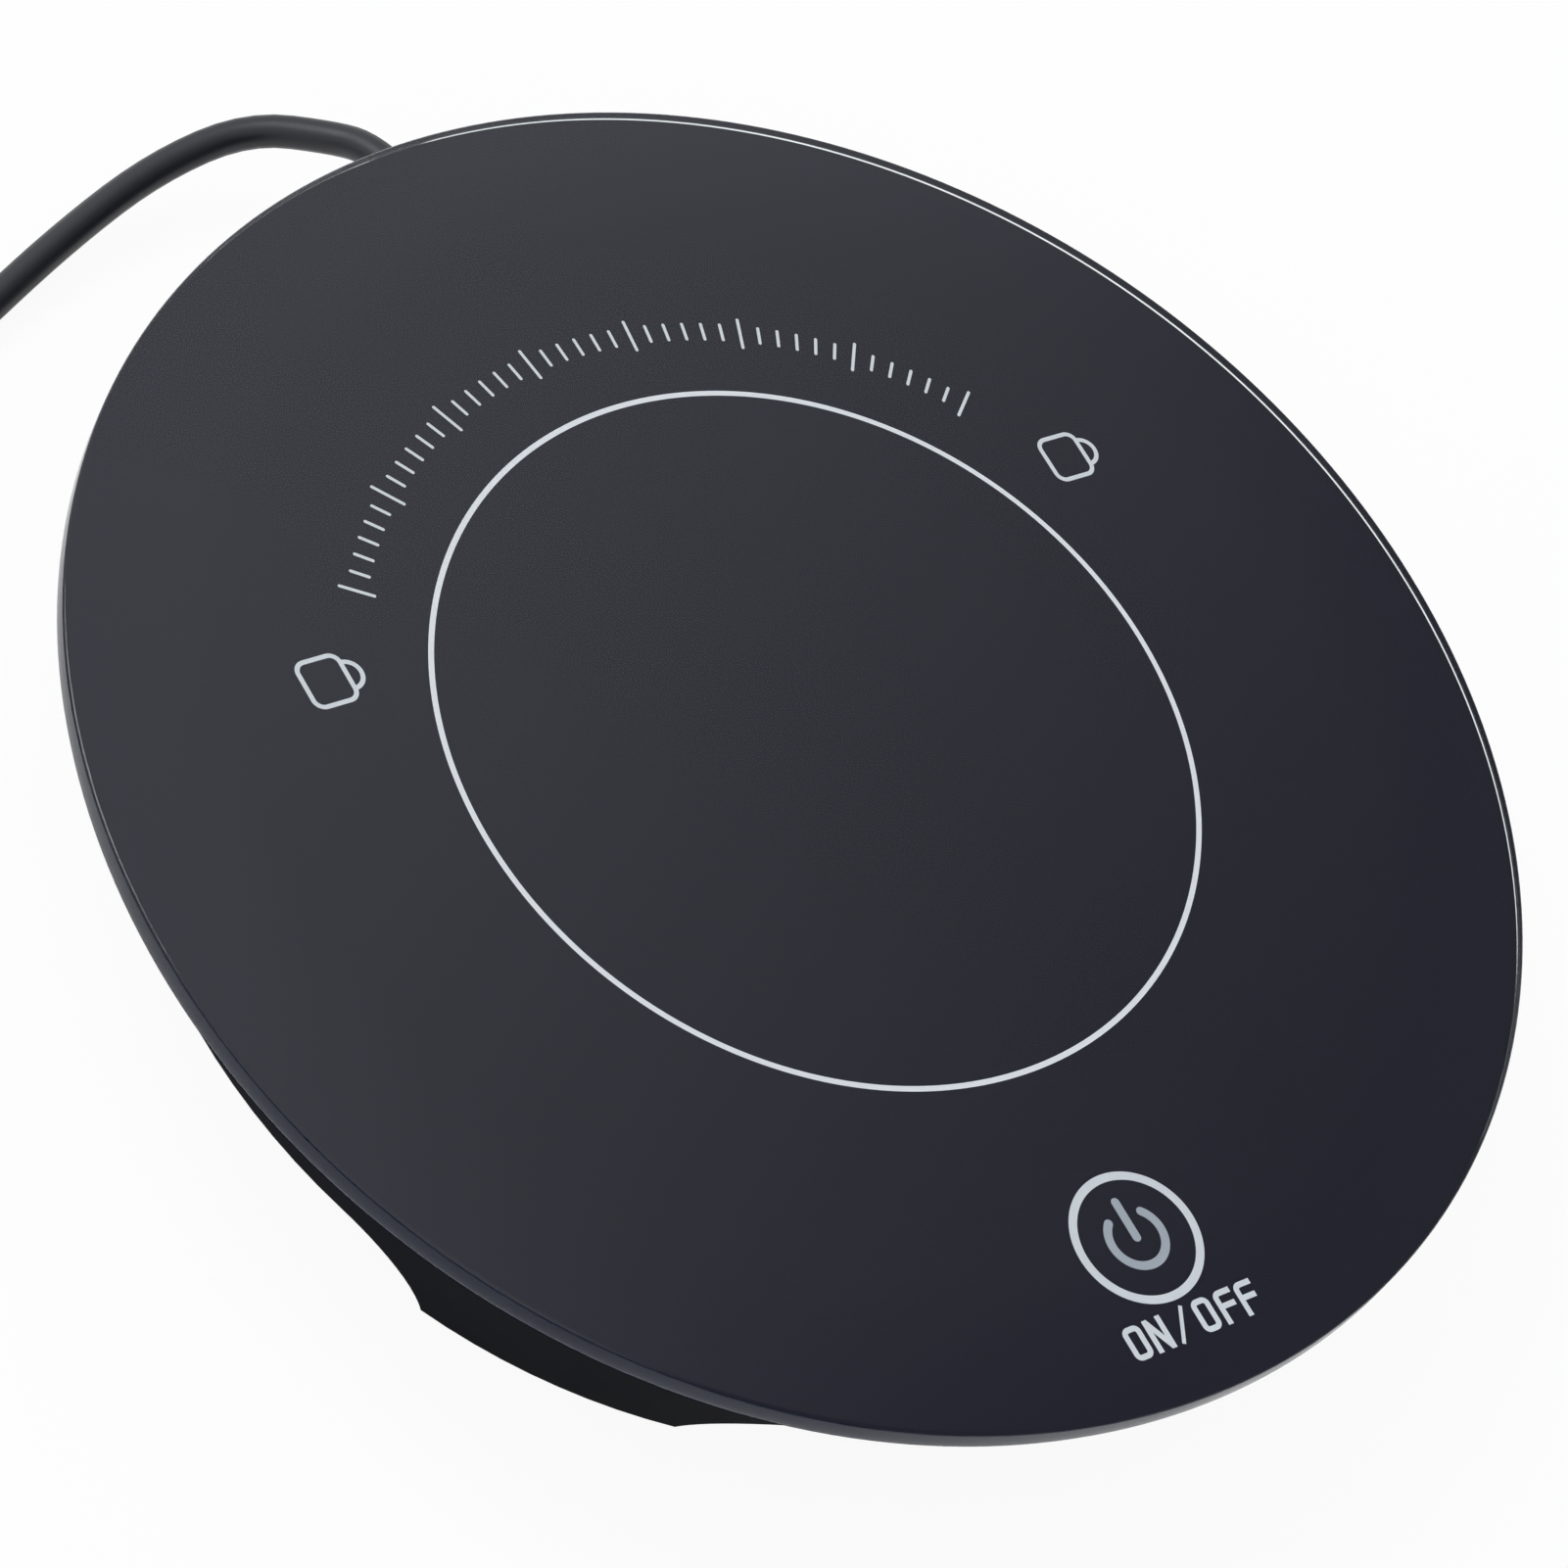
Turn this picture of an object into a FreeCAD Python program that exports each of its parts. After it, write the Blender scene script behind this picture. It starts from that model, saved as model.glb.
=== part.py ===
import FreeCAD, Part
import math
import os
import Sketcher

# Mug warmer: a round glass plate on a low tapered plastic base with four feet.
# Origin: middle of the base on the surface it stands on. +Z up, touch key towards -Y,
# lead out of the back, towards +Y. All lengths are in millimetres.

os.makedirs("parts", exist_ok=True)
doc = FreeCAD.newDocument("MugWarmer")
sheet = doc.addObject("Spreadsheet::Sheet", "Sizes")

# Driving sizes, one cell each: name, number, what it is.
driving_sizes = (
    ("glass_radius", 65.0, "outer radius of the glass plate"),
    ("glass_thickness", 2.2, "thickness of the glass plate"),
    ("glass_round", 0.5, "polished chamfer of the glass rim"),
    ("glass_overhang", 6.0, "glass rim beyond the wall's upper edge"),
    ("wall_flare", 4.2, "how far the wall leans out from foot to upper edge"),
    ("ink_inset", 0.6, "print stops short of the glass rim"),
    ("ink_thickness", 0.12, "black print under the glass"),
    ("mark_thickness", 0.06, "pale marks, printed before the black"),
    ("zone_radius", 34.4, "middle of the line round the warm zone"),
    ("zone_line", 0.5, "width of that line"),
    ("key_radius", 5.6, "middle of the line round the key"),
    ("key_line", 0.75, "width of that line"),
    ("symbol_radius", 2.4, "middle of the power symbol's arc"),
    ("symbol_line", 0.75, "width of its strokes"),
    ("symbol_gap", 84.0, "opening of the arc in degrees"),
    ("symbol_bar", 3.0, "length of the bar in that opening"),
    ("bond_thickness", 0.3, "adhesive between print and frame"),
    ("bond_width", 2.0, "width of the adhesive ring"),
    ("bond_inset", 0.5, "adhesive stops short of the frame's edge"),
    ("pad_proud", 0.6, "rubber pad below the plastic foot"),
    ("pad_recess", 0.8, "depth of the pad's seat in the foot"),
    ("pad_radius", 3.9, "radius of a rubber pad"),
    ("foot_height", 6.3, "foot below the floor, the arch's height"),
    ("foot_angle", 47.8, "feet from the front line, in degrees"),
    ("foot_inset", 5.0, "foot centre inside the foot's outer edge"),
    ("front_land", 4.69, "foot centre beyond the end of the front arch"),
    ("side_land", 5.85, "foot centre beyond the end of the side arch"),
    ("arch_run", 8.0, "length of the curve at each end of an arch"),
    ("floor_thickness", 2.0, "floor of the base"),
    ("cavity_height", 10.4, "room between floor and frame"),
    ("wall_thickness", 2.0, "wall of the base"),
    ("frame_thickness", 2.1, "flange of the upper frame"),
    ("bore_gap", 3.8, "frame's bore clear of the aluminium disc"),
    ("lip_depth", 2.0, "frame's lip inside the wall"),
    ("lip_width", 1.4, "thickness of that lip"),
    ("seat_gap", 0.25, "clearance between round parts that nest"),
    ("post_radius", 3.2, "frame posts that take the screws"),
    ("screw_radius", 1.25, "housing screw shank"),
    ("screw_length", 9.0, "housing screw shank length"),
    ("screw_head_radius", 2.4, "housing screw head"),
    ("screw_head_height", 1.5, "housing screw head"),
    ("screw_land", 3.6, "plastic between screw head and floor's top"),
    ("small_screw_radius", 0.9, "shank of the inner screws"),
    ("small_screw_length", 3.6, "shank length of the inner screws"),
    ("small_head_radius", 1.8, "head of the inner screws"),
    ("small_head_height", 1.1, "head of the inner screws"),
    ("thread_gap", 0.05, "clearance round a screw's shank"),
    ("spreader_margin", 0.8, "aluminium disc beyond the warm zone's line"),
    ("spreader_thickness", 1.0, "aluminium disc"),
    ("heater_inset", 4.2, "heating foil inside the aluminium disc's edge"),
    ("heater_thickness", 0.6, "heating foil disc"),
    ("insulation_inset", 1.7, "insulation inside the aluminium disc's edge"),
    ("insulation_thickness", 2.6, "insulation under the heater"),
    ("bracket_radius", 19.0, "middle of the spring steel bracket"),
    ("bracket_thickness", 0.8, "spring steel bracket"),
    ("bracket_land", 4.0, "bracket screws beyond the frame's bore"),
    ("bracket_arm", 7.0, "width of a bracket arm"),
    ("sensor_radius", 1.3, "temperature sensor bead"),
    ("sensor_length", 2.0, "temperature sensor bead"),
    ("sensor_offset", 9.0, "sensor from the middle, towards the key"),
    ("fuse_radius", 1.4, "thermal fuse body"),
    ("fuse_length", 9.0, "thermal fuse body"),
    ("fuse_offset", 10.5, "thermal fuse behind the middle"),
    ("board_width", 26.0, "control board across"),
    ("board_wall_gap", 0.55, "board's round front edge clear of the wall"),
    ("board_bracket_gap", 3.0, "board's rear edge clear of the bracket's middle"),
    ("board_row", 11.0, "front board screws behind the front edge"),
    ("board_margin", 0.4, "board post clear of the board's edge"),
    ("terminal_setback", 4.0, "connector's middle from the board's rear edge"),
    ("pin_setback", 2.0, "soldered wires from the board's rear edge"),
    ("chip_setback", 10.5, "control chip behind the key"),
    ("board_thickness", 1.2, "control board"),
    ("standoff_height", 2.6, "board above the floor"),
    ("standoff_radius", 2.6, "posts that carry the board"),
    ("connector_height", 2.6, "connector for the heater's leads"),
    ("guide_radius", 3.9, "light guide round the key's spring"),
    ("guide_wall", 0.9, "wall of the light guide"),
    ("spring_radius", 1.5, "touch spring, middle of the wire"),
    ("spring_wire", 0.4, "touch spring wire"),
    ("spring_turns", 6.0, "turns of the touch spring"),
    ("cord_diameter", 3.0, "supply lead"),
    ("cord_height", 13.0, "lead above the surface where it leaves"),
    ("relief_root", 3.3, "radius of the strain relief at the wall"),
    ("relief_tip", 2.1, "radius of the strain relief at its end"),
    ("relief_length", 10.0, "strain relief outside the wall"),
    ("relief_neck", 2.7, "radius of its neck in the wall's hole"),
    ("relief_flange", 3.9, "radius of its flange inside the wall"),
    ("relief_flange_thickness", 1.4, "flange inside the wall"),
    ("gland_wall", 0.9, "flat boss round the strain relief"),
    ("gland_proud", 0.2, "that boss beyond the wall"),
    ("gland_depth", 0.6, "that boss inside the wall"),
    ("tail_length", 14.0, "lead inside the base, up to its cut end"),
    ("clamp_width", 5.0, "cord clamp along the lead"),
    ("clamp_span", 6.5, "clamp screw from the lead's middle"),
    ("clamp_thickness", 1.5, "cord clamp bar"),
    ("clamp_setback", 2.0, "cord clamp from the lead's cut end"),
    ("clamp_gap", 0.1, "lead under the clamp, and its neck in the wall"),
    ("wire_radius", 0.55, "insulated inner wires"),
    ("coil_radius", 18.0, "put-away coil, middle of its turns"),
    ("coil_pitch", 3.5, "step from turn to turn and layer to layer"),
    ("coil_turns_each", 4.375, "turns in each of the two layers"),
    ("coil_lift", 0.9, "coil above the surface, on its tie"),
    ("tie_width", 5.0, "strap round the coil"),
    ("tie_thickness", 0.6, "strap round the coil"),
    ("plug_width", 15.6, "plug body across"),
    ("plug_height", 8.0, "plug body thickness"),
    ("plug_length", 21.0, "plug body along the lead"),
    ("plug_neck", 7.0, "plug's own tapered neck"),
    ("shell_width", 12.0, "plug shell across"),
    ("shell_height", 4.5, "plug shell thickness"),
    ("shell_length", 12.0, "plug shell out of the body"),
    ("shell_wall", 0.3, "plug shell sheet"),
    ("shell_inset", 5.0, "plug shell inside the body"),
    ("tongue_height", 1.9, "tongue in the plug shell"),
    ("tongue_gap", 0.1, "tongue clear of the shell's sides"),
    ("tongue_setback", 0.8, "tongue short of the shell's end"),
    ("contact_width", 1.0, "contact strips on the tongue"),
    ("contact_height", 0.2, "contact strips on the tongue"),
)
for row, (name, number, note) in enumerate(driving_sizes, 1):
    sheet.set("A%d" % row, name)
    sheet.set("B%d" % row, str(number))
    sheet.set("C%d" % row, note)
    sheet.setAlias("B%d" % row, name)
doc.recompute()


class Size:
    # A length that knows its number and how the sheet writes it.

    def __init__(self, number, text):
        self.number = float(number)
        self.text = text

    def __add__(self, other):
        other = as_size(other)
        return Size(self.number + other.number, "(%s + %s)" % (self.text, other.text))

    def __sub__(self, other):
        other = as_size(other)
        return Size(self.number - other.number, "(%s - %s)" % (self.text, other.text))

    def __mul__(self, other):
        other = as_size(other)
        return Size(self.number * other.number, "(%s * %s)" % (self.text, other.text))

    def __truediv__(self, other):
        other = as_size(other)
        return Size(self.number / other.number, "(%s / %s)" % (self.text, other.text))

    def __neg__(self):
        return Size(-self.number, "(0 - %s)" % self.text)

    def __float__(self):
        return self.number


def as_size(value):
    if isinstance(value, Size):
        return value
    return Size(value, "(%.6f)" % value)


def size(name):
    return Size(sheet.get(name), "Sizes.%s" % name)


def sine(angle):
    return Size(math.sin(math.radians(angle.number)), "sin(%s)" % angle.text)


def cosine(angle):
    return Size(math.cos(math.radians(angle.number)), "cos(%s)" % angle.text)


def bind(piece, **sizes):
    for prop, value in sizes.items():
        piece.setExpression(prop.replace("_", "."), as_size(value).text)


def place(piece, x=0.0, y=0.0, z=0.0):
    bind(piece, Placement_Base_x=x, Placement_Base_y=y, Placement_Base_z=z)
    return piece


node_list = []


def finish_node(piece, label):
    piece.Label = label
    node_list.append(piece)
    return piece


# Plain solids bound to the sheet.

def cylinder(name, radius, height, x=0.0, y=0.0, z=0.0):
    piece = doc.addObject("Part::Cylinder", name)
    bind(piece, Radius=radius, Height=height)
    return place(piece, x, y, z)


def cone(name, radius1, radius2, height, x=0.0, y=0.0, z=0.0):
    piece = doc.addObject("Part::Cone", name)
    bind(piece, Radius1=radius1, Radius2=radius2, Height=height)
    return place(piece, x, y, z)


def block(name, length, width, height, x=0.0, y=0.0, z=0.0):
    # x and y are the middle of the block, z its lower face.
    piece = doc.addObject("Part::Box", name)
    bind(piece, Length=length, Width=width, Height=height)
    return place(piece, as_size(x) - as_size(length) / 2, as_size(y) - as_size(width) / 2, z)


def along_y(piece):
    # Turns a cylinder or cone so that its axis runs towards +Y.
    piece.Placement = FreeCAD.Placement(
        piece.Placement.Base, FreeCAD.Rotation(FreeCAD.Vector(1, 0, 0), -90))
    return piece


def along_x(piece):
    piece.Placement = FreeCAD.Placement(
        piece.Placement.Base, FreeCAD.Rotation(FreeCAD.Vector(0, 1, 0), 90))
    return piece


def fuse(name, pieces):
    piece = doc.addObject("Part::MultiFuse", name)
    piece.Shapes = pieces
    return piece


def cut(name, base, tool):
    piece = doc.addObject("Part::Cut", name)
    piece.Base = base
    piece.Tool = tool
    return piece


def common(name, base, tool):
    piece = doc.addObject("Part::Common", name)
    piece.Base = base
    piece.Tool = tool
    return piece


def group(name, pieces):
    piece = doc.addObject("Part::Compound", name)
    piece.Links = pieces
    return piece


def tube(name, outer, inner, height, x=0.0, y=0.0, z=0.0):
    return cut(name, cylinder(name + "_outer", outer, height, x, y, z),
               cylinder(name + "_bore", inner, height, x, y, z))


def shape_node(label, shape):
    piece = doc.addObject("Part::Feature", label)
    piece.Shape = shape
    return finish_node(piece, label)


# Sketches on a body's own origin planes.

def new_body(label):
    body = doc.addObject("PartDesign::Body", label)
    return finish_node(body, label)


def new_sketch(body, name, role, level=None):
    sketch = body.newObject("Sketcher::SketchObject", name)
    plane = next(item for item in body.Origin.OriginFeatures if item.Role == role)
    sketch.AttachmentSupport = [(plane, "")]
    sketch.MapMode = "FlatFace"
    if level is not None:
        bind(sketch, AttachmentOffset_Base_z=level)
    return sketch


def pin_point(sketch, geometry, point, x, y):
    # Holds a sketch point at x, y from the sketch's origin.
    for kind, value in (("DistanceX", as_size(x)), ("DistanceY", as_size(y))):
        index = sketch.addConstraint(
            Sketcher.Constraint(kind, -1, 1, geometry, point, value.number))
        sketch.setExpression("Constraints[%d]" % index, value.text)


def outline(sketch, corners, arc_middles=None):
    # Closed outline through corners; arc_middles gives, for a side that is an arc,
    # its middle as (x, y), and the middle's x is held.
    arc_middles = arc_middles or {}
    spots = [FreeCAD.Vector(float(x), float(y), 0) for x, y in corners]
    count = len(corners)
    ends = []
    for index in range(count):
        start = spots[index]
        end = spots[(index + 1) % count]
        if index not in arc_middles:
            geometry = sketch.addGeometry(Part.LineSegment(start, end), False)
            ends.append((geometry, 1, 2))
            continue
        middle = FreeCAD.Vector(*[float(value) for value in arc_middles[index]], 0)
        radius = (start - middle).Length
        angles = [math.atan2(spot.y - middle.y, spot.x - middle.x) for spot in (start, end)]
        turn = (angles[1] - angles[0]) % (2 * math.pi)
        forward = turn < math.pi
        if not forward:
            angles.reverse()
        circle = Part.Circle(middle, FreeCAD.Vector(0, 0, 1), radius)
        geometry = sketch.addGeometry(Part.ArcOfCircle(circle, angles[0], angles[1]), False)
        ends.append((geometry, 1, 2) if forward else (geometry, 2, 1))
        held = sketch.addConstraint(Sketcher.Constraint(
            "DistanceX", -1, 1, geometry, 3, middle.x))
        sketch.setExpression("Constraints[%d]" % held, as_size(arc_middles[index][0]).text)
    for index in range(count):
        geometry, _, last = ends[index]
        following, first, _ = ends[(index + 1) % count]
        sketch.addConstraint(Sketcher.Constraint("Coincident", geometry, last, following, first))
    for index, (x, y) in enumerate(corners):
        pin_point(sketch, ends[index][0], ends[index][1], x, y)


def circle(sketch, x, y, radius):
    radius = as_size(radius)
    spot = FreeCAD.Vector(float(x), float(y), 0)
    geometry = sketch.addGeometry(
        Part.Circle(spot, FreeCAD.Vector(0, 0, 1), radius.number), False)
    pin_point(sketch, geometry, 3, x, y)
    index = sketch.addConstraint(Sketcher.Constraint("Radius", geometry, radius.number))
    sketch.setExpression("Constraints[%d]" % index, radius.text)


def revolve(body, name, sketch):
    feature = body.newObject("PartDesign::Revolution", name)
    feature.Profile = sketch
    feature.ReferenceAxis = (sketch, ["V_Axis"])
    feature.Angle = 360.0
    return feature


def pad(body, name, sketch, length, reverse=False):
    feature = body.newObject("PartDesign::Pad", name)
    feature.Profile = sketch
    bind(feature, Length=length)
    feature.Reversed = reverse
    return feature


def pocket(body, name, sketch, length, reverse=False, both_ways=False):
    # Cuts, and stops with a message if the pocket takes nothing away.
    doc.recompute()
    before = body.Tip.Shape.Volume
    feature = body.newObject("PartDesign::Pocket", name)
    feature.Profile = sketch
    bind(feature, Length=length)
    feature.Reversed = reverse
    feature.Midplane = both_ways
    doc.recompute()
    if feature.Shape.Volume > before - 0.01:
        raise RuntimeError("pocket %s cuts nothing" % name)
    return feature


# Levels, from the surface upwards.
foot_base = size("pad_proud")
floor_under = foot_base + size("foot_height")
floor_top = floor_under + size("floor_thickness")
rim = floor_top + size("cavity_height")
frame_top = rim + size("frame_thickness")
ink_under = frame_top + size("bond_thickness")
glass_under = ink_under + size("ink_thickness")
glass_top = glass_under + size("glass_thickness")
spreader_under = ink_under - size("spreader_thickness")
heater_under = spreader_under - size("heater_thickness")
insulation_under = heater_under - size("insulation_thickness")
bracket_under = insulation_under - size("bracket_thickness")
board_under = floor_top + size("standoff_height")
board_top = board_under + size("board_thickness")

# How far a boss is sunk into the face it stands on, and a cut runs past one.
sunk = 0.5
run_out = 1.0

wall_top_radius = size("glass_radius") - size("glass_overhang")
foot_radius = wall_top_radius - size("wall_flare")
wall_slope = size("wall_flare") / (rim - foot_base)


def wall_radius(level):
    return foot_radius + wall_slope * (level - foot_base)


def around(pitch, angle):
    # Place on a circle, angle in degrees from the +X axis.
    return pitch * cosine(angle), pitch * sine(angle)


foot_pitch = foot_radius - size("foot_inset")
foot_x = foot_pitch * sine(size("foot_angle"))
foot_y = foot_pitch * cosine(size("foot_angle"))
front_arch = foot_x - size("front_land")
side_arch = foot_y - size("side_land")
foot_places = [(foot_x * side, foot_y * end) for side in (-1, 1) for end in (-1, 1)]

spreader_radius = size("zone_radius") + size("spreader_margin")
heater_radius = spreader_radius - size("heater_inset")
insulation_radius = spreader_radius - size("insulation_inset")
frame_bore = spreader_radius + size("bore_gap")
bracket_pitch = frame_bore + size("bracket_land")
bracket_angles = (60, 180, 300)
bracket_places = [around(bracket_pitch, as_size(angle)) for angle in bracket_angles]

board_front = wall_radius(board_under) - size("wall_thickness") - size("board_wall_gap")
board_back = size("bracket_radius") + size("board_bracket_gap")
key_offset = board_front - size("guide_radius")
board_inset = size("standoff_radius") + size("board_margin")
board_screw_x = size("board_width") / 2 - board_inset
board_rows = (-board_front + size("board_row"), -board_back - board_inset)
pin_row = -board_back - size("pin_setback")
board_places = [(board_screw_x * side, row) for side in (-1, 1) for row in board_rows]

cord_radius = size("cord_diameter") / 2
gland_radius = size("relief_root") + size("gland_wall")
gland_back = wall_radius(size("cord_height") + gland_radius) + size("gland_proud")
gland_inside = wall_radius(size("cord_height") - gland_radius) - size("wall_thickness")
gland_inside = gland_inside - size("gland_depth")
relief_inside = gland_inside - size("relief_flange_thickness")
tail_end = relief_inside - size("tail_length")
clamp_y = tail_end + size("clamp_width") / 2 + size("clamp_setback")
clamp_under = size("cord_height") + cord_radius + size("clamp_gap")
clamp_places = [(size("clamp_span") * side, clamp_y) for side in (-1, 1)]


# Glass plate with its print.

def make_glass():
    body = new_body("glass_plate")
    sketch = new_sketch(body, "glass_section", "XZ_Plane")
    radius = size("glass_radius")
    bevel = size("glass_round")
    outline(sketch, [
        (0.0, glass_under),
        (radius - bevel, glass_under),
        (radius, glass_under + bevel),
        (radius, glass_top - bevel),
        (radius - bevel, glass_top),
        (0.0, glass_top)])
    revolve(body, "glass_turned", sketch)


def mark_shapes(prefix, level, height):
    # The warm zone's line, the key's line and the power symbol, as upright prisms.
    key_y = -key_offset
    zone = tube(prefix + "_zone", size("zone_radius") + size("zone_line") / 2,
                size("zone_radius") - size("zone_line") / 2, height, z=level)
    key = tube(prefix + "_key", size("key_radius") + size("key_line") / 2,
               size("key_radius") - size("key_line") / 2, height, y=key_y, z=level)
    outer = cylinder(prefix + "_arc_outer", size("symbol_radius") + size("symbol_line") / 2,
                     height, y=key_y, z=level)
    bind(outer, Angle=as_size(360.0) - size("symbol_gap"))
    turn = as_size(90.0) + size("symbol_gap") / 2
    outer.Placement = FreeCAD.Placement(
        FreeCAD.Vector(), FreeCAD.Rotation(FreeCAD.Vector(0, 0, 1), turn.number))
    bind(outer, Placement_Rotation_Angle=turn)
    bore = cylinder(prefix + "_arc_bore", size("symbol_radius") - size("symbol_line") / 2,
                    height, y=key_y, z=level)
    arc = cut(prefix + "_arc", outer, bore)
    bar = block(prefix + "_bar", size("symbol_line"), size("symbol_bar"), height,
                y=key_y + size("symbol_bar") / 2, z=level)
    return [zone, key, arc, bar]


def make_print():
    mark_under = glass_under - size("mark_thickness")
    marks = group("printed_marks", mark_shapes("mark", mark_under, size("mark_thickness")))
    finish_node(marks, "printed_marks")
    disc = cylinder("print_disc", size("glass_radius") - size("ink_inset"),
                    size("ink_thickness"), z=ink_under)
    grooves = fuse("print_grooves", mark_shapes("groove", mark_under, size("mark_thickness")))
    finish_node(cut("back_print", disc, grooves), "back_print")


def make_bond():
    outer = wall_top_radius - size("bond_inset")
    ring = tube("bond_ring", outer, outer - size("bond_width"), size("bond_thickness"),
                z=frame_top)
    finish_node(ring, "bond_ring")


# Upper frame: flange under the glass, lip in the base's wall, posts for the screws.

def make_frame():
    body = new_body("upper_frame")
    section = new_sketch(body, "frame_section", "XZ_Plane")
    outer = wall_top_radius
    lip_outer = wall_radius(rim - size("lip_depth")) - size("wall_thickness") - size("seat_gap")
    outline(section, [
        (frame_bore, rim),
        (lip_outer - size("lip_width"), rim),
        (lip_outer - size("lip_width"), rim - size("lip_depth")),
        (lip_outer, rim - size("lip_depth")),
        (lip_outer, rim),
        (outer, rim),
        (outer, frame_top),
        (frame_bore, frame_top)])
    revolve(body, "frame_turned", section)
    doc.recompute()
    posts = new_sketch(body, "foot_posts", "XY_Plane", floor_top)
    for x, y in foot_places:
        circle(posts, x, y, size("post_radius"))
    pad(body, "foot_posts_pad", posts, rim + sunk - floor_top)
    doc.recompute()
    short = new_sketch(body, "bracket_posts", "XY_Plane", insulation_under)
    for x, y in bracket_places:
        circle(short, x, y, size("post_radius"))
    pad(body, "bracket_posts_pad", short, rim + sunk - insulation_under)
    pilot = new_sketch(body, "foot_pilots", "XY_Plane", floor_top)
    for x, y in foot_places:
        circle(pilot, x, y, size("screw_radius") + size("thread_gap"))
    pocket(body, "foot_pilots_cut", pilot, size("screw_length") - size("screw_land") + sunk,
           reverse=True)
    small = new_sketch(body, "bracket_pilots", "XY_Plane", insulation_under)
    for x, y in bracket_places:
        circle(small, x, y, size("small_screw_radius") + size("thread_gap"))
    pocket(body, "bracket_pilots_cut", small,
           size("small_screw_length") - size("bracket_thickness") + size("seat_gap"), reverse=True)
    window = new_sketch(body, "key_window", "XY_Plane", rim - run_out)
    circle(window, 0.0, -key_offset, size("guide_radius") + size("seat_gap"))
    pocket(body, "key_window_cut", window, size("frame_thickness") + run_out * 2,
           reverse=True)


# Base: tapered wall, floor and four feet left standing between two arched channels.

def arch(sketch, half_width):
    # A flat-topped arch whose ends curve down to the feet, open at the bottom.
    run = size("arch_run")
    height = size("foot_height")
    bend = (run * run + height * height) / (height * 2.0)
    below = foot_base - run_out
    middle_y = floor_under - bend
    outline(sketch, [
        (-half_width, below),
        (half_width, below),
        (half_width, foot_base),
        (half_width - run, floor_under),
        (-half_width + run, floor_under),
        (-half_width, foot_base)],
        arc_middles={2: (half_width - run, middle_y), 4: (-half_width + run, middle_y)})


def make_base():
    body = new_body("base_housing")
    section = new_sketch(body, "base_section", "XZ_Plane")
    wall = size("wall_thickness")
    outline(section, [
        (0.0, foot_base),
        (foot_radius, foot_base),
        (wall_top_radius, rim),
        (wall_top_radius - wall, rim),
        (wall_radius(floor_top) - wall, floor_top),
        (0.0, floor_top)])
    revolve(body, "base_turned", section)
    span = size("glass_radius") * 2.0
    front = new_sketch(body, "front_arch_section", "XZ_Plane")
    arch(front, front_arch)
    pocket(body, "front_arch_cut", front, span, both_ways=True)
    side = new_sketch(body, "side_arch_section", "YZ_Plane")
    arch(side, side_arch)
    pocket(body, "side_arch_cut", side, span, both_ways=True)
    seats = new_sketch(body, "pad_seats", "XY_Plane", foot_base)
    for x, y in foot_places:
        circle(seats, x, y, size("pad_radius") + size("seat_gap") / 2)
    pocket(body, "pad_seats_cut", seats, size("pad_recess"), reverse=True)
    heads = new_sketch(body, "screw_heads", "XY_Plane", foot_base)
    for x, y in foot_places:
        circle(heads, x, y, size("screw_head_radius") + size("seat_gap"))
    pocket(body, "screw_heads_cut", heads, floor_top - size("screw_land") - foot_base,
           reverse=True)
    holes = new_sketch(body, "screw_holes", "XY_Plane", foot_base)
    for x, y in foot_places:
        circle(holes, x, y, size("screw_radius") + size("seat_gap"))
    pocket(body, "screw_holes_cut", holes, floor_top - foot_base + run_out, reverse=True)
    standoffs = new_sketch(body, "standoffs", "XY_Plane", floor_top - sunk)
    for x, y in board_places:
        circle(standoffs, x, y, size("standoff_radius"))
    pad(body, "standoffs_pad", standoffs, size("standoff_height") + sunk)
    doc.recompute()
    saddles = new_sketch(body, "clamp_bosses", "XY_Plane", floor_top - sunk)
    for x, y in clamp_places:
        circle(saddles, x, y, size("standoff_radius"))
    pad(body, "clamp_bosses_pad", saddles, clamp_under - floor_top + sunk)
    doc.recompute()
    cradle = new_sketch(body, "cord_cradle", "XY_Plane", floor_top - sunk)
    half = cord_radius
    low = clamp_y - size("clamp_width") / 2
    high = clamp_y + size("clamp_width") / 2
    outline(cradle, [(-half, low), (half, low), (half, high), (-half, high)])
    pad(body, "cord_cradle_pad", cradle,
        size("cord_height") - cord_radius - floor_top + sunk)
    pilots = new_sketch(body, "board_pilots", "XY_Plane", board_under)
    for x, y in board_places:
        circle(pilots, x, y, size("small_screw_radius") + size("thread_gap"))
    pocket(body, "board_pilots_cut", pilots,
           size("small_screw_length") - size("board_thickness") + size("seat_gap"))
    clamp_pilots = new_sketch(body, "clamp_pilots", "XY_Plane", clamp_under)
    for x, y in clamp_places:
        circle(clamp_pilots, x, y, size("small_screw_radius") + size("thread_gap"))
    pocket(body, "clamp_pilots_cut", clamp_pilots,
           size("small_screw_length") - size("clamp_thickness") + size("seat_gap"))
    gland = new_sketch(body, "gland_boss", "XZ_Plane", -gland_inside)
    circle(gland, 0.0, size("cord_height"), gland_radius)
    pad(body, "gland_boss_pad", gland, gland_back - gland_inside, reverse=True)
    gland_hole = new_sketch(body, "cord_hole", "XZ_Plane")
    circle(gland_hole, 0.0, size("cord_height"), size("relief_neck") + size("clamp_gap"))
    pocket(body, "cord_hole_cut", gland_hole, span)


def make_rubber_feet():
    pads = []
    for index, (x, y) in enumerate(foot_places):
        pads.append(cylinder("rubber_foot_%d" % index, size("pad_radius"),
                             size("pad_proud") + size("pad_recess"), x, y, 0.0))
    finish_node(group("rubber_feet", pads), "rubber_feet")


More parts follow.
